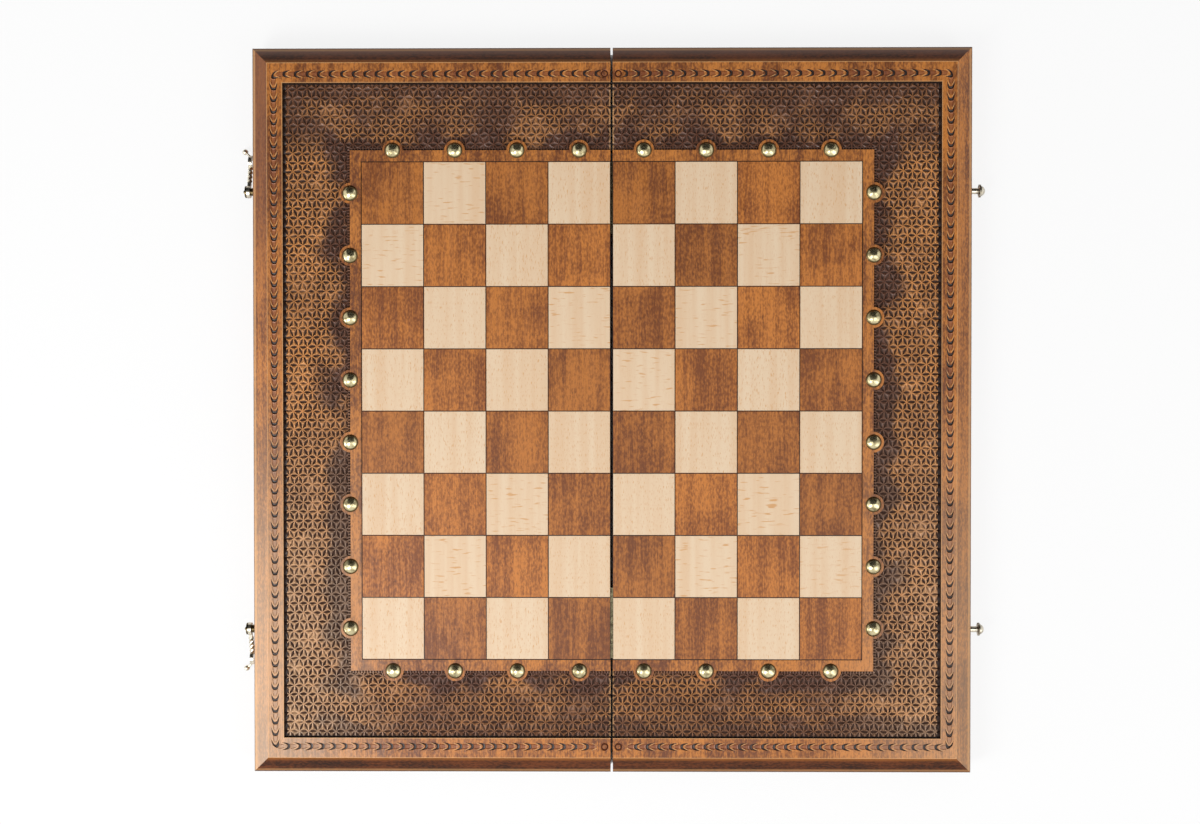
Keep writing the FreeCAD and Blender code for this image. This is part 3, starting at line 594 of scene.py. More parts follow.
class BOARD_OT_finish_timber(bpy.types.Operator):
    """Finish the rails, panels and backgammon boards, with painted sheen, highlights and shade"""

    bl_idname = "board.finish_timber"
    bl_label = "Finish timber"

    def execute(self, context):
        shades = context.scene.board_colours
        light, deep, soot_and_shade = shades.stained[:], shades.stained_deep[:], shades.soot_and_shade[:]

        def along_y(shader, place):
            return stained_timber(shader, place, light, deep)

        def rail_highlight_and_shade(shader, made, off, z, highlight_share):
            """Adds a painted highlight near the outer edge of a rail and painted shade along that edge."""
            # Painted highlight: a pale line in the colour of worn wood near the outer edge
            beside = shader.size(shader.minus(off, HIGHLIGHT_INSET))
            line = shader.span(beside, *RAIL_HIGHLIGHT, highlight_share, 0.0)
            wood = shader.mix(line, made["Base Color"], shades.worn[:])
            # Painted shade: a dark line at the outer edge, below the rail's foot
            edge_shade = shader.times(shader.span(off, *RAIL_EDGE_SHADE), shader.span(z, *RAIL_FOOT))
            made["Base Color"] = shader.mix(edge_shade, wood, soot_and_shade)
            return made

        def side_rail(shader, place):
            made = along_y(shader, place)
            x, y, z = shader.axes(place)
            left_back = shader.times(shader.maths("LESS_THAN", x, 0.0), shader.span(y, *LEFT_RAIL_DARK))
            wood = shader.mix(left_back, made["Base Color"], deep)
            # Painted sheen on the front corners of the rail
            made["Base Color"] = paint_sheen(shader, place, wood, shades.painted_sheen[:])
            off = shader.minus(RAIL_X, shader.size(x))
            return rail_highlight_and_shade(shader, made, off, z, 0.5)

        # End rails: partly a darker stain, partly painted shade on their bevels
        def end_rail(shader, place):
            across = grain_across(shader, place)
            made = stained_timber(shader, across, shades.end_rail[:], shades.end_rail_deep[:])
            _, y, z = shader.axes(place)
            off = shader.minus(RAIL_Y, shader.size(y))
            # Painted sheen: the back rail turns grey towards its outer edge, above its foot
            back = shader.times(shader.maths("GREATER_THAN", y, 0.0), shader.span(z, *RAIL_FOOT))
            grey = shader.times(shader.span(off, *RAIL_SHEEN), back)
            warm = shader.span(off, *RAIL_WARM)
            wood = shader.mix(grey, made["Base Color"], shades.back_rail_sheen[:])
            made["Base Color"] = shader.mix(warm, wood, light)
            return rail_highlight_and_shade(shader, made, off, z, 0.3)

        def panel(shader, place):
            made = along_y(shader, place)
            x, y, z = shader.axes(place)
            edge = band_edge_highlights(shader, x, y)
            # Painted sheen on the front corners of the band
            wood = paint_sheen(shader, place, made["Base Color"], shades.painted_sheen[:])
            # Painted highlights: pale lines along the band's edges
            wood = shader.mix(shader.times(edge, 0.7), wood, shades.worn[:])
            # Darker below the band's top: stain in the cuts, and partly painted shadow in the groove beside
            # the lattice
            depth = shader.span(z, *CUT_SOOT_AND_SHADOW)
            made["Base Color"] = shader.mix(depth, wood, soot_and_shade)
            return made

        side_wood = finish("Side rail wood", side_rail, Specular_IOR_Level=0.5)
        end_wood = finish("End rail wood", end_rail, Specular_IOR_Level=0.12)
        assign(side_wood, *both("outer_rail", "hinge_rail"))
        assign(end_wood, *both("back_rail", "front_rail"))
        assign(finish("Panel wood", panel), *both("carved_panel"))
        assign(finish("Backgammon board wood", along_y), *both("backgammon_field"))
        return {"FINISHED"}


class BOARD_OT_finish_veneers(bpy.types.Operator):
    """Finish the chess squares and the backgammon points"""

    bl_idname = "board.finish_veneers"
    bl_label = "Finish veneers"

    def execute(self, context):
        shades = context.scene.board_colours

        def square_place(shader, place):
            """Shifts the grain by a chance amount in every square, and gives that chance."""
            x, y, z = shader.axes(place)
            off_seam = shader.minus(x, shader.times(shader.maths("SIGN", x), SEAM_X))
            cell = shader.node("ShaderNodeCombineXYZ", {
                "X": shader.maths("FLOOR", shader.maths("DIVIDE", off_seam, SQUARE)),
                "Y": shader.maths("FLOOR", shader.maths("DIVIDE", y, SQUARE)),
            }).outputs[0]
            chance = shader.node("ShaderNodeTexWhiteNoise", {"Vector": cell}, noise_dimensions="3D")
            return shader.vector("ADD", place, chance.outputs["Color"]), chance.outputs["Value"]

        def dark_square(shader, place):
            moved, chance = square_place(shader, place)
            made = stained_timber(shader, moved, shades.walnut[:], shades.walnut_deep[:])
            tone = shader.span(chance, 0.0, 1.0, 0.86, 1.08)
            grey = shader.node("ShaderNodeCombineXYZ", {"X": tone, "Y": tone, "Z": tone}).outputs[0]
            made["Base Color"] = shader.mix(1.0, made["Base Color"], grey, "MULTIPLY")
            return made

        def light_square(shader, place):
            moved, chance = square_place(shader, place)
            grain = shader.group(timber_grain(), {"Vector": moved})
            wood = shader.mix(shader.times(grain["Streak"], 0.3), shades.maple[:], shades.maple_figure[:])
            flecks = shader.times(grain["Pore"], shader.span(chance, 0.35, 0.65, 0.75, 0.15))
            rays = shader.times(grain["Ray"], shader.span(chance, 0.4, 0.6, 0.1, 0.9))
            wood = shader.mix(shader.larger(flecks, rays), wood, shades.maple_figure[:])
            rough = shader.span(grain["Fibre"], 0.0, 1.0, 0.4, 0.52)
            normal = shader.bump(grain["Fibre"], 0.15, 0.03 * MM)
            return {"Base Color": wood, "Roughness": rough, "Normal": normal}

        dark = finish("Dark veneer", dark_square)
        light = finish("Light veneer", light_square)
        assign(dark, *both("dark_squares", "dark_points"))
        assign(light, *both("light_squares", "light_points"))
        return {"FINISHED"}


class BOARD_OT_finish_metal(bpy.types.Operator):
    """Finish the hinges, screws, hooks and studs"""

    bl_idname = "board.finish_metal"
    bl_label = "Finish metal"

    def execute(self, context):
        shades = context.scene.board_colours
        hardware = metal_finish("Hinge brass", shades.brass[:], shades.brass_old[:], 0.5)
        bright = metal_finish("Hook metal", shades.hook_metal[:], shades.metal_old[:], 0.35)
        # Dark old metal on the pivots and plates: partly tarnish, partly painted shade
        dark = metal_finish("Pivot metal", shades.metal_old[:], shades.brass_old[:], 0.7)
        aged = metal_finish("Stud metal", shades.hook_metal[:], shades.metal_old[:], 0.9)
        assign(hardware, *both("hinge_leaves", "hinge_screws"), "hinge_pins")
        for end in ("back", "front"):
            assign(bright, f"{end}_hook")
            assign(aged, f"{end}_latch_stud")
            # Pivots and plates in dark old metal: partly tarnish, partly painted shade
            assign(dark, f"{end}_hook_pivot", f"{end}_hook_plate")
        assign(dark, "hook_plate_pins")
        return {"FINISHED"}


def metal_finish(name, bright, old, tarnish, tarnish_and_shade_below=0.0):
    """Worn metal: bright where rubbed, dull and brown in patches, and below a level, partly painted shade."""

    def wire(shader, place):
        age = shader.group(metal_age(), {"Vector": place})
        dull = shader.times(age["Tarnish"], tarnish)
        if tarnish_and_shade_below:
            foot = shader.span(shader.axes(place)["Z"], tarnish_and_shade_below, tarnish_and_shade_below - METAL_FADE, 0.0, 0.9)
            dull = shader.larger(dull, foot)
        rough = shader.span(age["Scratch"], 0.0, 1.0, 0.2, 0.32)
        rough = shader.plus(rough, shader.times(dull, 0.2))
        return {
            "Base Color": shader.mix(dull, bright, old),
            "Roughness": rough,
            "Normal": shader.bump(age["Scratch"], 0.12, 0.02 * MM),
        }

    return finish(name, wire, Metallic=1.0)


class BOARD_OT_carve_ground(bpy.types.Operator):
    """Carve the lattice of pits and the notched edge of each half's sunk ground"""

    bl_idname = "board.carve_ground"
    bl_label = "Carve ground"

    def execute(self, context):
        cuts, shades = context.scene.board_carving, context.scene.board_colours
        noise.seed_set(NOISE_SEED)
        carved = finish("Carved ground", lambda shader, place: ground_look(shader, place, cuts, shades))
        for side, sign in SIDES.items():
            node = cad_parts[f"{side}_carved_panel"]
            panel = sunk_panel(f"{side}_sunk_panel", node, cuts)
            put_on(panel, side, node.data.materials[0])
            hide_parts(node.name)
            put_on(pit_lattice(f"{side}_carved_ground", sign, cuts), side, carved)
            put_on(notch_row(f"{side}_notched_edge", sign, cuts), side, carved)
        return {"FINISHED"}


def sunk_panel(name, node, cuts):
    """The panel with its grooved ground let down, to make room for the single pits that stand for it."""
    panel = bpy.data.objects.new(name, node.data.copy())
    bpy.context.scene.collection.objects.link(panel)
    drop = Vector((0, 0, cuts.ground_drop))
    with editing(panel):
        bpy.ops.mesh.customdata_custom_splitnormals_clear()
        bpy.ops.mesh.remove_doubles(threshold=MERGE_SOLID)
        low, high = FLOOR_Z - CHIP_DEPTH - SEAT, FLOOR_Z + SEAT
        move_vertices(lambda co: co - drop if low < co.z < high else co)
    bpy.ops.object.shade_smooth_by_angle(angle=PANEL_SMOOTH)
    return panel


def pit_cell(cuts):
    """A three-sided cell: half a pit along each side and a hollow-sided ridge top, at height 0, between."""
    pitch, row = cuts.pit_pitch, cuts.pit_row
    corners = [Vector((0, 0, 0)), Vector((pitch, 0, 0)), Vector((pitch / 2, row, 0))]
    middle = sum(corners, Vector()) / 3
    deselect()
    bpy.ops.mesh.primitive_circle_add(vertices=3, radius=pitch, fill_type="NOTHING")
    cell = take("pit_cell")
    for vertex, corner in zip(cell.data.vertices, corners):
        vertex.co = corner
    with editing(cell):
        bpy.ops.mesh.subdivide(number_cuts=3)
        bpy.ops.mesh.edge_face_add()
        bpy.ops.mesh.inset(thickness=pitch / 20)
        bpy.ops.mesh.poke()
        rim = [vertex for vertex in edit_mesh().verts if vertex.is_boundary]
        for low in rim:
            ridge = next(e.other_vert(low) for e in low.link_edges if not e.is_boundary)
            start, end = nearest_side(low.co, corners)
            share = (low.co - start).length / (end - start).length
            bulge = 4 * share * (1 - share)
            inward = (end - start).cross(Vector((0, 0, 1))).normalized()
            inward *= math.copysign(1, inward.dot(middle - start))
            ridge.co = low.co + inward * cuts.pit_width / 2 * bulge
            low.co.z = -cuts.pit_depth * bulge**0.6
        bmesh.update_edit_mesh(cell.data)
        bpy.ops.mesh.select_all(action="SELECT")
        bpy.ops.mesh.remove_doubles(threshold=MERGE_SOLID)
    return cell


def nearest_side(point, corners):
    """The two ends of the side of a triangle that a point lies on."""
    sides = [(corners[k], corners[(k + 1) % 3]) for k in range(3)]
    return min(sides, key=lambda s: abs((point - s[0]).cross(s[1] - s[0]).length) / (s[1] - s[0]).length)


def pit_lattice(name, sign, cuts):
    """Pits on every side of a lattice of cells, cut to the three-sided ground of one half."""
    pitch, row = cuts.pit_pitch, cuts.pit_row
    outer_x, outer_y = GROUND_X - cuts.side_groove, GROUND_Y - cuts.end_groove
    inner_x, inner_y = STRIP_X + cuts.notch_length, STRIP_Y + cuts.notch_length
    ground = pit_cell(cuts)
    ground.name = ground.data.name = name
    with editing(ground):
        bpy.ops.mesh.duplicate()
        bpy.ops.transform.rotate(value=math.pi, orient_axis="Z", center_override=(0.75 * pitch, row / 2, 0))
        bpy.ops.mesh.select_all(action="SELECT")
        bpy.ops.mesh.duplicate()
        bpy.ops.transform.translate(value=(pitch / 2, row, 0))
    repeat(ground, math.ceil((outer_x - SEAM_X) / pitch) + 3, (pitch, 0, 0))
    repeat(ground, math.ceil(outer_y / row) + 1, (0, 2 * row, 0))
    ridge_z, floor_z = FLOOR_Z + cuts.ridge_rise, FLOOR_Z - cuts.ground_drop
    start = Vector((SEAM_X - 2 * pitch, -outer_y - row / 2, ridge_z))

    def by_hand(co):
        spot = co + start
        stray = noise.noise_vector(noise_place(spot.x, spot.y, sign, PIT_STRAY))
        shake = noise.noise_vector(noise_place(spot.x, spot.y, sign, PIT_SHAKE))
        moved = spot + (stray * 0.9 + shake * 0.7) * cuts.wobble
        deeper = 1 + 0.4 * stray.z + 0.5 * shake.z
        moved.z = max(floor_z + SEAT, ridge_z + co.z * deeper)
        return moved

    with editing(ground):
        bpy.ops.mesh.remove_doubles(threshold=MERGE_ROWS)
        move_vertices(by_hand)
        cut((SEAM_X, 0, 0), (-1, 0, 0))
        cut((outer_x, 0, 0), (1, 0, 0))
        cut((inner_x, 0, 0), (1, 0, 0), drop_outer=False)
        for end in (-1, 1):
            cut((0, end * outer_y, 0), (0, end, 0))
            cut((0, end * inner_y, 0), (0, end, 0), drop_outer=False)

        def on_field(face):
            spot = face.calc_center_median()
            return spot.x < inner_x and abs(spot.y) < inner_y

        select_where("FACE", on_field)
        bpy.ops.mesh.delete(type="FACE")
        stand_on(floor_z - SEAT)
    mirror_to(ground, sign)
    return ground


def mirror_to(piece, sign):
    """Turns a piece of the right half into its mirror image where the left half asks for it."""
    if sign < 0:
        with editing(piece):
            bpy.ops.transform.mirror(constraint_axis=(True, False, False), center_override=(0, 0, 0))
            bpy.ops.mesh.normals_make_consistent(inside=False)


# Columns of a notch as shares of its pitch, those that are cut, and the cut's share away from the field
NOTCH_COLUMNS = (0.0, 0.12, 0.34, 0.66, 0.88, 1.0)
NOTCH_CUT = (2, 3)
NOTCH_SHALLOW = 0.25
NOTCH_SINK = 0.3 * MM


def notch_row(name, sign, cuts):
    """A row of V-shaped notches that runs round the playing field, deepest beside it."""
    half_width = cuts.notch_length / 2
    path = (STRIP_X + half_width, STRIP_Y + half_width, half_width)
    count = round(path_length(*path) / cuts.notch_pitch)
    pitch = path_length(*path) / count
    columns = len(NOTCH_COLUMNS) - 1
    row = grid(name, columns, 1)
    ridge_z, floor_z = FLOOR_Z + cuts.ridge_rise, FLOOR_Z - cuts.ground_drop

    def notch(co):
        column = round((co.x + 0.5) * columns)
        share = (1.0 if co.y < 0 else NOTCH_SHALLOW) if column in NOTCH_CUT else 0.0
        along, out = NOTCH_COLUMNS[column] * pitch, math.copysign(half_width, co.y)
        return Vector((along, out, ridge_z - cuts.pit_depth * share))

    def bent(co):
        shake = noise.noise(noise_place(co.x, co.y, sign, NOTCH_SHAKE))
        x, y = round_half(co.x, co.y, *path)
        return Vector((x, y, max(floor_z + SEAT, co.z - abs(shake) * NOTCH_SINK)))

    with editing(row):
        move_vertices(notch)
    repeat(row, count, (pitch, 0, 0))
    with editing(row):
        move_vertices(bent)
        bpy.ops.mesh.remove_doubles(threshold=MERGE_NOTCHES)
        stand_on(floor_z - SEAT)
    mirror_to(row, sign)
    return row


def ground_look(shader, place, cuts, shades):
    """Rubbed ridges, dark stain in the pits, and thick stain round the field, along the ends and in patches.
    """
    x, y, z = shader.axes(place)
    far_x = shader.size(x)
    away_x = shader.minus(far_x, STRIP_X)
    away_y = shader.minus(shader.size(y), STRIP_Y)
    away = shader.larger(away_x, away_y)
    cloud = shader.group(stain_cloud(), {"Vector": place, "Scale": 30.0})["Cloud"]
    blur = shader.times(shader.minus(cloud, 0.5), STAIN_BLUR)
    halo = shader.span(shader.plus(away, blur), *STAIN_HALO)
    ends = shader.span(shader.plus(away_y, blur), *STAIN_ENDS)
    # The ground darkens towards the back, and the stain thickens towards the front
    back = shader.span(y, *DARKER_BACK)
    front = shader.span(y, *STAIN_FRONT)
    # Painted sheen on the front corners: it eases the front's darkening and turns the ridges pale
    pale = painted_sheen_share(shader, place)
    front = shader.times(front, shader.span(pale, 0.0, 0.25, 1.0, 0.15))
    back = shader.larger(back, front)
    stain = shader.larger(halo, shader.times(ends, 0.9))
    stain = shader.larger(stain, shader.times(back, shader.span(cloud, 0.0, 1.0, 1.1, 0.6)))
    stain = shader.larger(stain, shader.times(cloud, 0.35))
    grain = shader.group(timber_grain(), {"Vector": place})
    ridge = shader.mix(stain, shades.ground[:], shades.ground_deep[:])
    ridge = shader.mix(shader.times(grain["Mottle"], 0.3), ridge, shades.ground_deep[:])
    rubbed = shader.span(far_x, *SEAM_RUBBED)
    ridge = shader.mix(rubbed, ridge, shades.worn[:])
    # Pale ridges where the sheen is painted on the front corners
    ridge = shader.mix(shader.times(pale, 1.4), ridge, shades.painted_sheen[:])
    ridge_z = FLOOR_Z + cuts.ridge_rise
    depth = shader.span(z, ridge_z - 0.06 * cuts.pit_depth, ridge_z - 0.75 * cuts.pit_depth)
    wood = shader.mix(depth, ridge, shades.soot_and_shade[:])
    return {"Base Color": wood, "Roughness": shader.span(depth, 0.0, 1.0, 0.36, 0.7)}


class BOARD_OT_carve_chain(bpy.types.Operator):
    """Carve the chain border of each half's band"""

    bl_idname = "board.carve_chain"
    bl_label = "Carve chain"

    def execute(self, context):
        cuts, shades = context.scene.board_carving, context.scene.board_colours
        noise.seed_set(NOISE_SEED)

        def look(shader, place):
            made = stained_timber(shader, place, shades.stained[:], shades.stained_deep[:])
            stain = shader.node("ShaderNodeAttribute", attribute_name=CHAIN_STAIN_AND_HIGHLIGHT).outputs["Fac"]
            # Painted highlight: the pale rim in front of each cup, where the stain runs below 0
            wood = shader.mix(shader.span(stain, 0.0, -1.0), made["Base Color"], shades.worn[:])
            wood = shader.mix(shader.span(stain, 0.0, 0.4), wood, shades.bloom[:])
            # Painted sheen on the front corners of the chain border
            wood = paint_sheen(shader, place, wood, shades.painted_sheen[:])
            made["Base Color"] = shader.mix(shader.span(stain, 0.4, 0.9), wood, shades.chain_cut[:])
            return made

        carved = finish("Chain border", look)
        for side, sign in SIDES.items():
            put_on(chain_border(f"{side}_chain_border", sign, cuts), side, carved)
        return {"FINISHED"}


# Columns of a chain link: place and half width of the stem in millimetres, share of the cup's depth, stain
# from -1 for a painted highlight of bare wood to 1 for dark stain, and how far the column is drawn to a point
LINK_COLUMNS = (
    (-1.2, 0.7, 0.0, -0.9, 1.0),
    (-0.75, 0.9, 0.8, 0.9, 0.75),
    (-0.1, 1.2, 1.0, 1.0, 0.4),
    (0.55, 1.4, 0.9, 1.0, 0.1),
    (1.05, 1.5, 0.0, 0.2, 0.0),
    (1.7, 1.55, 0.0, 0.0, 0.0),
    (3.2, 1.4, 0.0, 0.0, 0.2),
    (4.6, 1.1, 0.0, 0.0, 0.6),
    (5.7, 0.85, 0.0, 0.0, 0.9),
    (6.3, 0.75, 0.0, -0.6, 1.0),
    (6.85, 0.7, 0.0, -0.9, 1.0),
)
LINK_LENGTH = (LINK_COLUMNS[-1][0] - LINK_COLUMNS[0][0]) * MM
LINK_ROWS = 14
CHAIN_STAIN_AND_HIGHLIGHT = "stain"
CUP_ROWS = (2.1 * MM, 2.5 * MM)
CUP_HALF_WIDTH = 2.75 * MM
CUP_FALL = 4.4 * MM
CUP_SHARPNESS = 14
STEM_FROM, STEM_TO = 1.05 * MM, 5.7 * MM
STEM_END = LINK_COLUMNS[0][1] * MM
STEM_EDGE = 0.3 * MM
STEM_ROW = 2
RING_CELL = 9 * MM
RING_COLUMNS = 24
RING_MIDDLE = 4.0 * MM
RING_RADIUS = 2.1 * MM
RING_CUT = 0.7 * MM
RING_SNAP = 0.24 * MM
CORNER_RADIUS = 3.5 * MM
CHAIN_WOBBLE = 0.25 * MM

# Depth and stain of the hollow along the stem and of the fine cuts beside it
STEM_HOLLOW = (0.2 * MM, 0.25)
STEM_CUT = (0.45 * MM, 0.6)


def link_row(row, stem):
    """Distance of a row of vertices from the chain's middle line, where stem is the stem's half width."""
    steps = (0.0, stem - STEM_EDGE, stem, stem + STEM_EDGE, *CUP_ROWS, CUP_HALF_WIDTH, CHAIN_WIDTH / 2)
    out = row - LINK_ROWS // 2
    return math.copysign(steps[abs(out)], out)


def trail(out, point):
    """How far a column falls back behind its tip at a distance from the middle line."""
    return CUP_FALL * min(1, abs(out) / CUP_HALF_WIDTH) ** (4 - 2 * point)


def set_stain_and_highlight(place):
    """Moves every vertex of the piece in hand and gives it its stain and painted highlight, both by place(co).
    """
    mesh = edit_mesh()
    layer = mesh.verts.layers.float.new(CHAIN_STAIN_AND_HIGHLIGHT)
    for vertex in mesh.verts:
        vertex.co, vertex[layer] = place(vertex.co)
    bmesh.update_edit_mesh(bpy.context.object.data)


def chain_link(cuts):
    """One link: a cup-shaped gouge and a hollow stem between two fine cuts."""
    columns = len(LINK_COLUMNS) - 1
    link = grid("chain_link", columns, LINK_ROWS)

    def shape(co):
        # Stain below 0 is a painted highlight: the pale rim in front of each cup
        along, stem, cup, stain, point = LINK_COLUMNS[round((co.x + 0.5) * columns)]
        along *= MM
        row = round((co.y + 0.5) * LINK_ROWS)
        share = min(1, max(0, (along - STEM_FROM) / (STEM_TO - STEM_FROM)))
        out = link_row(row, stem * MM)
        ease = max(0, 1 - (abs(out) / CUP_HALF_WIDTH) ** CUP_SHARPNESS)
        depth, stain = cuts.gouge_depth * cup * ease, stain * ease
        hollow = min(1, 2 * math.sin(math.pi * share))
        off = abs(row - LINK_ROWS // 2)
        if off <= STEM_ROW:
            deep, dark = STEM_CUT if off == STEM_ROW else STEM_HOLLOW
            depth, stain = max(depth, deep * hollow), max(stain, dark * hollow)
        return Vector((along - trail(out, point), out, -depth)), stain

    with editing(link):
        set_stain_and_highlight(shape)
    return link


def ring_end(cuts, start, first):
    """The plain end beside the seam with a ring cut in it, joined to the first or the last link."""
    end = grid("ring_end", RING_COLUMNS, LINK_ROWS)
    middle = Vector((RING_MIDDLE if first else RING_CELL - RING_MIDDLE, 0))

    def shape(co):
        share = co.x + 0.5
        row = round((co.y + 0.5) * LINK_ROWS)
        out = link_row(row, STEM_END)
        even = (row - LINK_ROWS / 2) * CHAIN_WIDTH / LINK_ROWS
        mixed = (share if first else 1 - share) ** 4
        out = out * mixed + even * (1 - mixed)
        spot = Vector((share * RING_CELL, out))
        off = spot - middle
        if abs(off.length - RING_RADIUS) < RING_SNAP:
            spot = middle + off.normalized() * RING_RADIUS
        ring = max(0, 1 - abs((spot - middle).length - RING_RADIUS) / RING_CUT)
        return Vector((start + spot.x - trail(out, 1) * mixed, spot.y, -cuts.gouge_depth * ring)), ring

    with editing(end):
        set_stain_and_highlight(shape)
    return end


def chain_border(name, sign, cuts):
    """A chain of links round one half, filling the channel in its band."""
    path = (CHAIN_X, CHAIN_Y, CORNER_RADIUS)
    whole = path_length(*path)
    count = round((whole - 2 * RING_CELL) / cuts.chain_pitch)
    pitch = (whole - 2 * RING_CELL) / count
    chain = chain_link(cuts)
    chain.name = chain.data.name = name
    start, stretch = LINK_COLUMNS[0][0] * MM, pitch / LINK_LENGTH
    with editing(chain):
        move_vertices(lambda co: Vector(((co.x - start) * stretch + RING_CELL, co.y, co.z)))
    repeat(chain, count, (pitch, 0, 0))
    ends = [ring_end(cuts, 0, True), ring_end(cuts, whole - RING_CELL, False)]
    pick(*ends, chain)
    bpy.ops.object.join()
    edge = CHAIN_WIDTH / 2

    def bent(co):
        inside = 1 - (abs(co.y) / edge) ** 6
        stray = noise.noise_vector(noise_place(co.x, co.y, sign, CHAIN_STRAY)) * CHAIN_WOBBLE * inside
        x, y = round_half(co.x + stray.x, co.y + stray.y, *path)
        deeper = 1 + 0.5 * noise.noise(noise_place(co.x, 0, sign, GOUGE_SHAKE))
        if co.y > edge * 0.99 and x > CHAIN_X - CORNER_RADIUS and abs(y) > CHAIN_Y - CORNER_RADIUS:
            middle = Vector((CHAIN_X - CORNER_RADIUS, math.copysign(CHAIN_Y - CORNER_RADIUS, y)))
            out = Vector((x, y)) - middle
            out *= (CORNER_RADIUS + edge) / max(abs(out.x), abs(out.y))
            x, y = middle + out
        return Vector((x, y, TOP_Z + co.z * deeper))

    with editing(chain):
        bpy.ops.mesh.remove_doubles(threshold=MERGE_CHAIN)
        move_vertices(bent)
        for end in (-1, 1):
            corner = Vector((CHAIN_X + edge, end * (CHAIN_Y + edge), TOP_Z))
            min(edit_mesh().verts, key=lambda vertex: (vertex.co - corner).length).co = corner
        stand_on(TOP_Z - CHAIN_DEPTH - SEAT)
    mirror_to(chain, sign)
    return chain


class BOARD_OT_dome_nails(bpy.types.Operator):
    """Hammer the brass dome nails"""

    bl_idname = "board.dome_nails"
    bl_label = "Dome nails"

    def execute(self, context):
        shades = context.scene.board_colours
        # The nails darken below a level: tarnish, and painted shade round the foot of each dome
        brass = metal_finish("Nail brass", shades.brass[:], shades.brass_old[:], 0.75, NAIL_TARNISH_AND_SHADE_Z)
        for side, sign in SIDES.items():
            nails = hammered_nails(f"{side}_hammered_nails", sign)
            put_on(nails, side, brass)
            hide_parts(f"{side}_brass_nails")
        return {"FINISHED"}


def nail_places(sign):
    """One nail by each edge square, on the outer line of the field's border."""
    side = [(STRIP_X, (k + 0.5 - SQUARES_DEEP / 2) * SQUARE) for k in range(SQUARES_DEEP)]
    ends = [(SEAM_X + (k + 0.5) * SQUARE, end * STRIP_Y) for end in (-1, 1) for k in range(SQUARES_ACROSS)]
    return [Vector((sign * x, y, TOP_Z)) for x, y in side + ends]


def hammered_nails(name, sign):
    """Domes with hammer marks, each turned and struck a little differently."""
    dome = NAIL_TOP - TOP_Z
    ball = (NAIL_RADIUS**2 + dome**2) / (2 * dome)
    deselect()
    bpy.ops.mesh.primitive_uv_sphere_add(segments=NAIL_SEGMENTS, ring_count=NAIL_SEGMENTS, radius=ball)
    master = take("dome_nail")
    with editing(master):
        move_vertices(lambda co: co + Vector((0, 0, dome - ball)))
        bpy.ops.mesh.bisect(plane_co=(0, 0, 0), plane_no=(0, 0, 1), clear_inner=True, use_fill=True)
        select_where("FACE", lambda face: face.normal.z < -0.9)
        bpy.ops.mesh.extrude_region_move(TRANSFORM_OT_translate={"value": (0, 0, -2 * SEAT)})
    chance = random.Random(NAIL_SEED + sign)
    copies = []
    for place in nail_places(sign):
        copy = master.copy()
        copy.data = master.data.copy()
        bpy.context.scene.collection.objects.link(copy)
        copy.data.transform(Matrix.Rotation(chance.uniform(0, math.tau), 4, "Z"))
        for vertex in copy.data.vertices:
            if vertex.co.z > SEAT:
                struck = noise.noise((vertex.co + place) * HAMMER_SCALE)
                vertex.co *= 1 - HAMMER_SHARE * max(0, struck)
        copy.data.transform(Matrix.Translation(place))
        copies.append(copy)
    bpy.data.objects.remove(master)
    pick(*reversed(copies))
    bpy.ops.object.join()
    nails = take(name)
    bpy.ops.object.shade_smooth_by_angle(angle=NAIL_SMOOTH)
    return nails


# Place and size of each lamp
LAMPS = {
    "left_lamp": ((-0.66, -0.56, 1.1), (0.42, 0.75)),
    "right_lamp": ((0.9, -0.6, 0.95), (0.7, 1.5)),
    "low_lamp": ((-1.3, -0.5, 0.25), (0.6, 0.4)),
}
FLOOR_SIZE = 12
CARD_SIZE = 5
CARD_PLACE = (0, 1.8, 1.8)
CARD_LEAN = math.radians(135)
SEAM_SIGHT = 6 * MM
FLOOR_HAZE = 0.85


class BOARD_OT_studio(bpy.types.Operator):
    """Set the pale floor, the soft lamps and the camera"""

    bl_idname = "board.studio"
    bl_label = "Studio"

    def execute(self, context):
        studio = context.scene.board_studio
        context.scene.view_settings.view_transform = "Standard"
        deselect()
        bpy.ops.mesh.primitive_plane_add(size=FLOOR_SIZE)
        floor = take("studio_floor")
        floor.data.materials.append(floor_finish())
        floor.visible_shadow = False
        white_world(context.scene, studio.ambient)
        dark_card()
        for name, (place, size) in LAMPS.items():
            soft_lamp(name, Vector(place), size, getattr(studio, name))
        bpy.ops.object.camera_add(location=studio.camera_place, rotation=studio.camera_turn)
        camera = take("board_camera")
        camera.data.lens = studio.lens
        camera.data.clip_start = 0.01
        context.scene.camera = camera
        return {"FINISHED"}


def dark_card():
    """A dark card that leans over the back of the board, seen only in reflections."""
    bpy.ops.mesh.primitive_plane_add(size=CARD_SIZE, location=CARD_PLACE, rotation=(CARD_LEAN, 0, 0))
    card = take("dark_card")
    card.visible_camera = card.visible_diffuse = card.visible_transmission = card.visible_shadow = False
    made, _ = new_material("Dark card", Base_Color=(0.05, 0.05, 0.05, 1), Roughness=0.9)
    card.data.materials.append(made)


def soft_lamp(name, place, size, power):
    """A large soft lamp aimed at the board."""
    aim = (-place).to_track_quat("-Z", "Y").to_euler()
    bpy.ops.object.light_add(type="AREA", location=place, rotation=aim)
    lamp = take(name)
    lamp.data.shape = "RECTANGLE"
    lamp.data.size, lamp.data.size_y = size
    lamp.data.energy = power


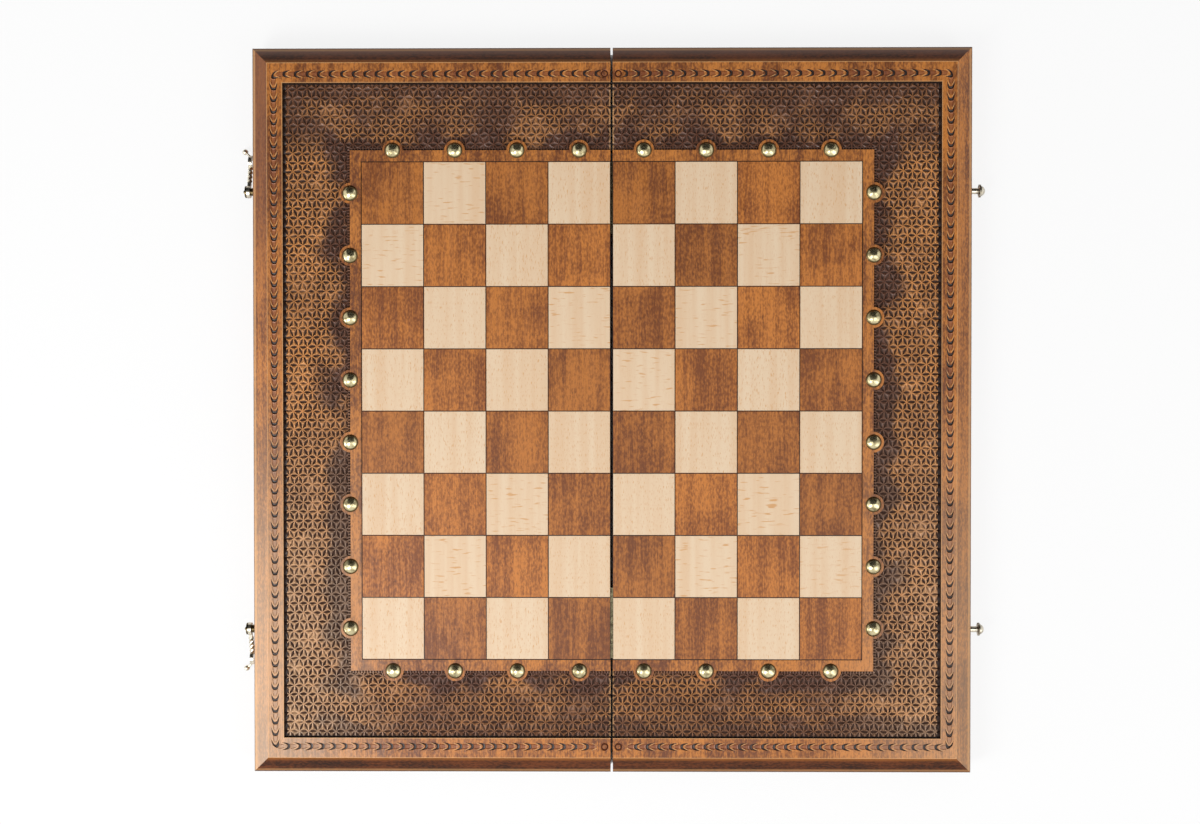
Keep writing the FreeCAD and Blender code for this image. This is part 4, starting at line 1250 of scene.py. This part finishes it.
def floor_finish():
    """White floor, mostly clear to the camera but for the seam, and quite clear from below."""
    white = (0.95, 0.95, 0.95, 1)
    made, principled = new_material("Studio floor", Base_Color=white, Roughness=0.9, Specular_IOR_Level=0.0)
    shader = Shader(made.node_tree)
    output = made.node_tree.nodes["Material Output"]
    x, y, _ = shader.axes(shader.node("ShaderNodeTexCoord").outputs["Object"])
    beside = shader.maths("GREATER_THAN", shader.size(x), SEAM_SIGHT)
    beyond = shader.maths("GREATER_THAN", shader.size(y), CAD_BOX[1].y)
    in_view = shader.times(shader.larger(beside, beyond), FLOOR_HAZE)
    camera = shader.times(shader.node("ShaderNodeLightPath").outputs["Is Camera Ray"], in_view)
    below = shader.node("ShaderNodeNewGeometry").outputs["Backfacing"]
    clear = shader.node("ShaderNodeBsdfTransparent").outputs[0]
    share = shader.larger(camera, below)
    mixed = shader.node("ShaderNodeMixShader", {0: share, 1: principled.outputs[0], 2: clear})
    shader.feed(output.inputs["Surface"], mixed.outputs[0])
    return made


def white_world(scene, ambient):
    """White to the camera and in reflections, and a plain grey light on the board."""
    scene.world = bpy.data.worlds.new("Studio world")
    scene.world.use_nodes = True
    shader = Shader(scene.world.node_tree)
    grey = scene.world.node_tree.nodes["Background"]
    grey.inputs["Color"].default_value = (1, 1, 1, 1)
    grey.inputs["Strength"].default_value = ambient
    white = shader.node("ShaderNodeBackground", {"Color": (1, 1, 1, 1), "Strength": 1.0})
    path = shader.node("ShaderNodeLightPath").outputs
    seen = shader.larger(path["Is Camera Ray"], path["Is Glossy Ray"])
    seen = shader.larger(seen, path["Is Transmission Ray"])
    mixed = shader.node("ShaderNodeMixShader", {0: seen, 1: grey.outputs[0], 2: white.outputs[0]})
    shader.feed(scene.world.node_tree.nodes["World Output"].inputs["Surface"], mixed.outputs[0])


OPERATORS = (
    BOARD_OT_finish_timber,
    BOARD_OT_finish_veneers,
    BOARD_OT_finish_metal,
    BOARD_OT_carve_ground,
    BOARD_OT_carve_chain,
    BOARD_OT_dome_nails,
    BOARD_OT_studio,
)


class BOARD_PT_sidebar(bpy.types.Panel):
    """Sizes, colours and steps of the board"""

    bl_idname = "BOARD_PT_sidebar"
    bl_label = "Chess and Backgammon Board"
    bl_space_type = "VIEW_3D"
    bl_region_type = "UI"
    bl_category = "Board"

    def draw(self, context):
        for group in SETTINGS:
            box = self.layout.box()
            settings = getattr(context.scene, group)
            for key in settings.bl_rna.properties.keys():
                if key not in ("rna_type", "name"):
                    box.prop(settings, key)
        for operator in OPERATORS:
            self.layout.operator(operator.bl_idname)


SETTINGS = {"board_carving": BoardCarving, "board_colours": BoardColours, "board_studio": BoardStudio}
CLASSES = (*SETTINGS.values(), *OPERATORS, BOARD_PT_sidebar)


def register():
    for cls in CLASSES:
        bpy.utils.register_class(cls)
    for name, group in SETTINGS.items():
        setattr(bpy.types.Scene, name, PointerProperty(type=group))


def unregister():
    for name in SETTINGS:
        delattr(bpy.types.Scene, name)
    for cls in reversed(CLASSES):
        bpy.utils.unregister_class(cls)


def main():
    register()
    bpy.ops.board.finish_timber()
    bpy.ops.board.finish_veneers()
    bpy.ops.board.finish_metal()
    bpy.ops.board.carve_ground()
    bpy.ops.board.carve_chain()
    bpy.ops.board.dome_nails()
    bpy.ops.board.studio()


if __name__ == "__main__":
    main()
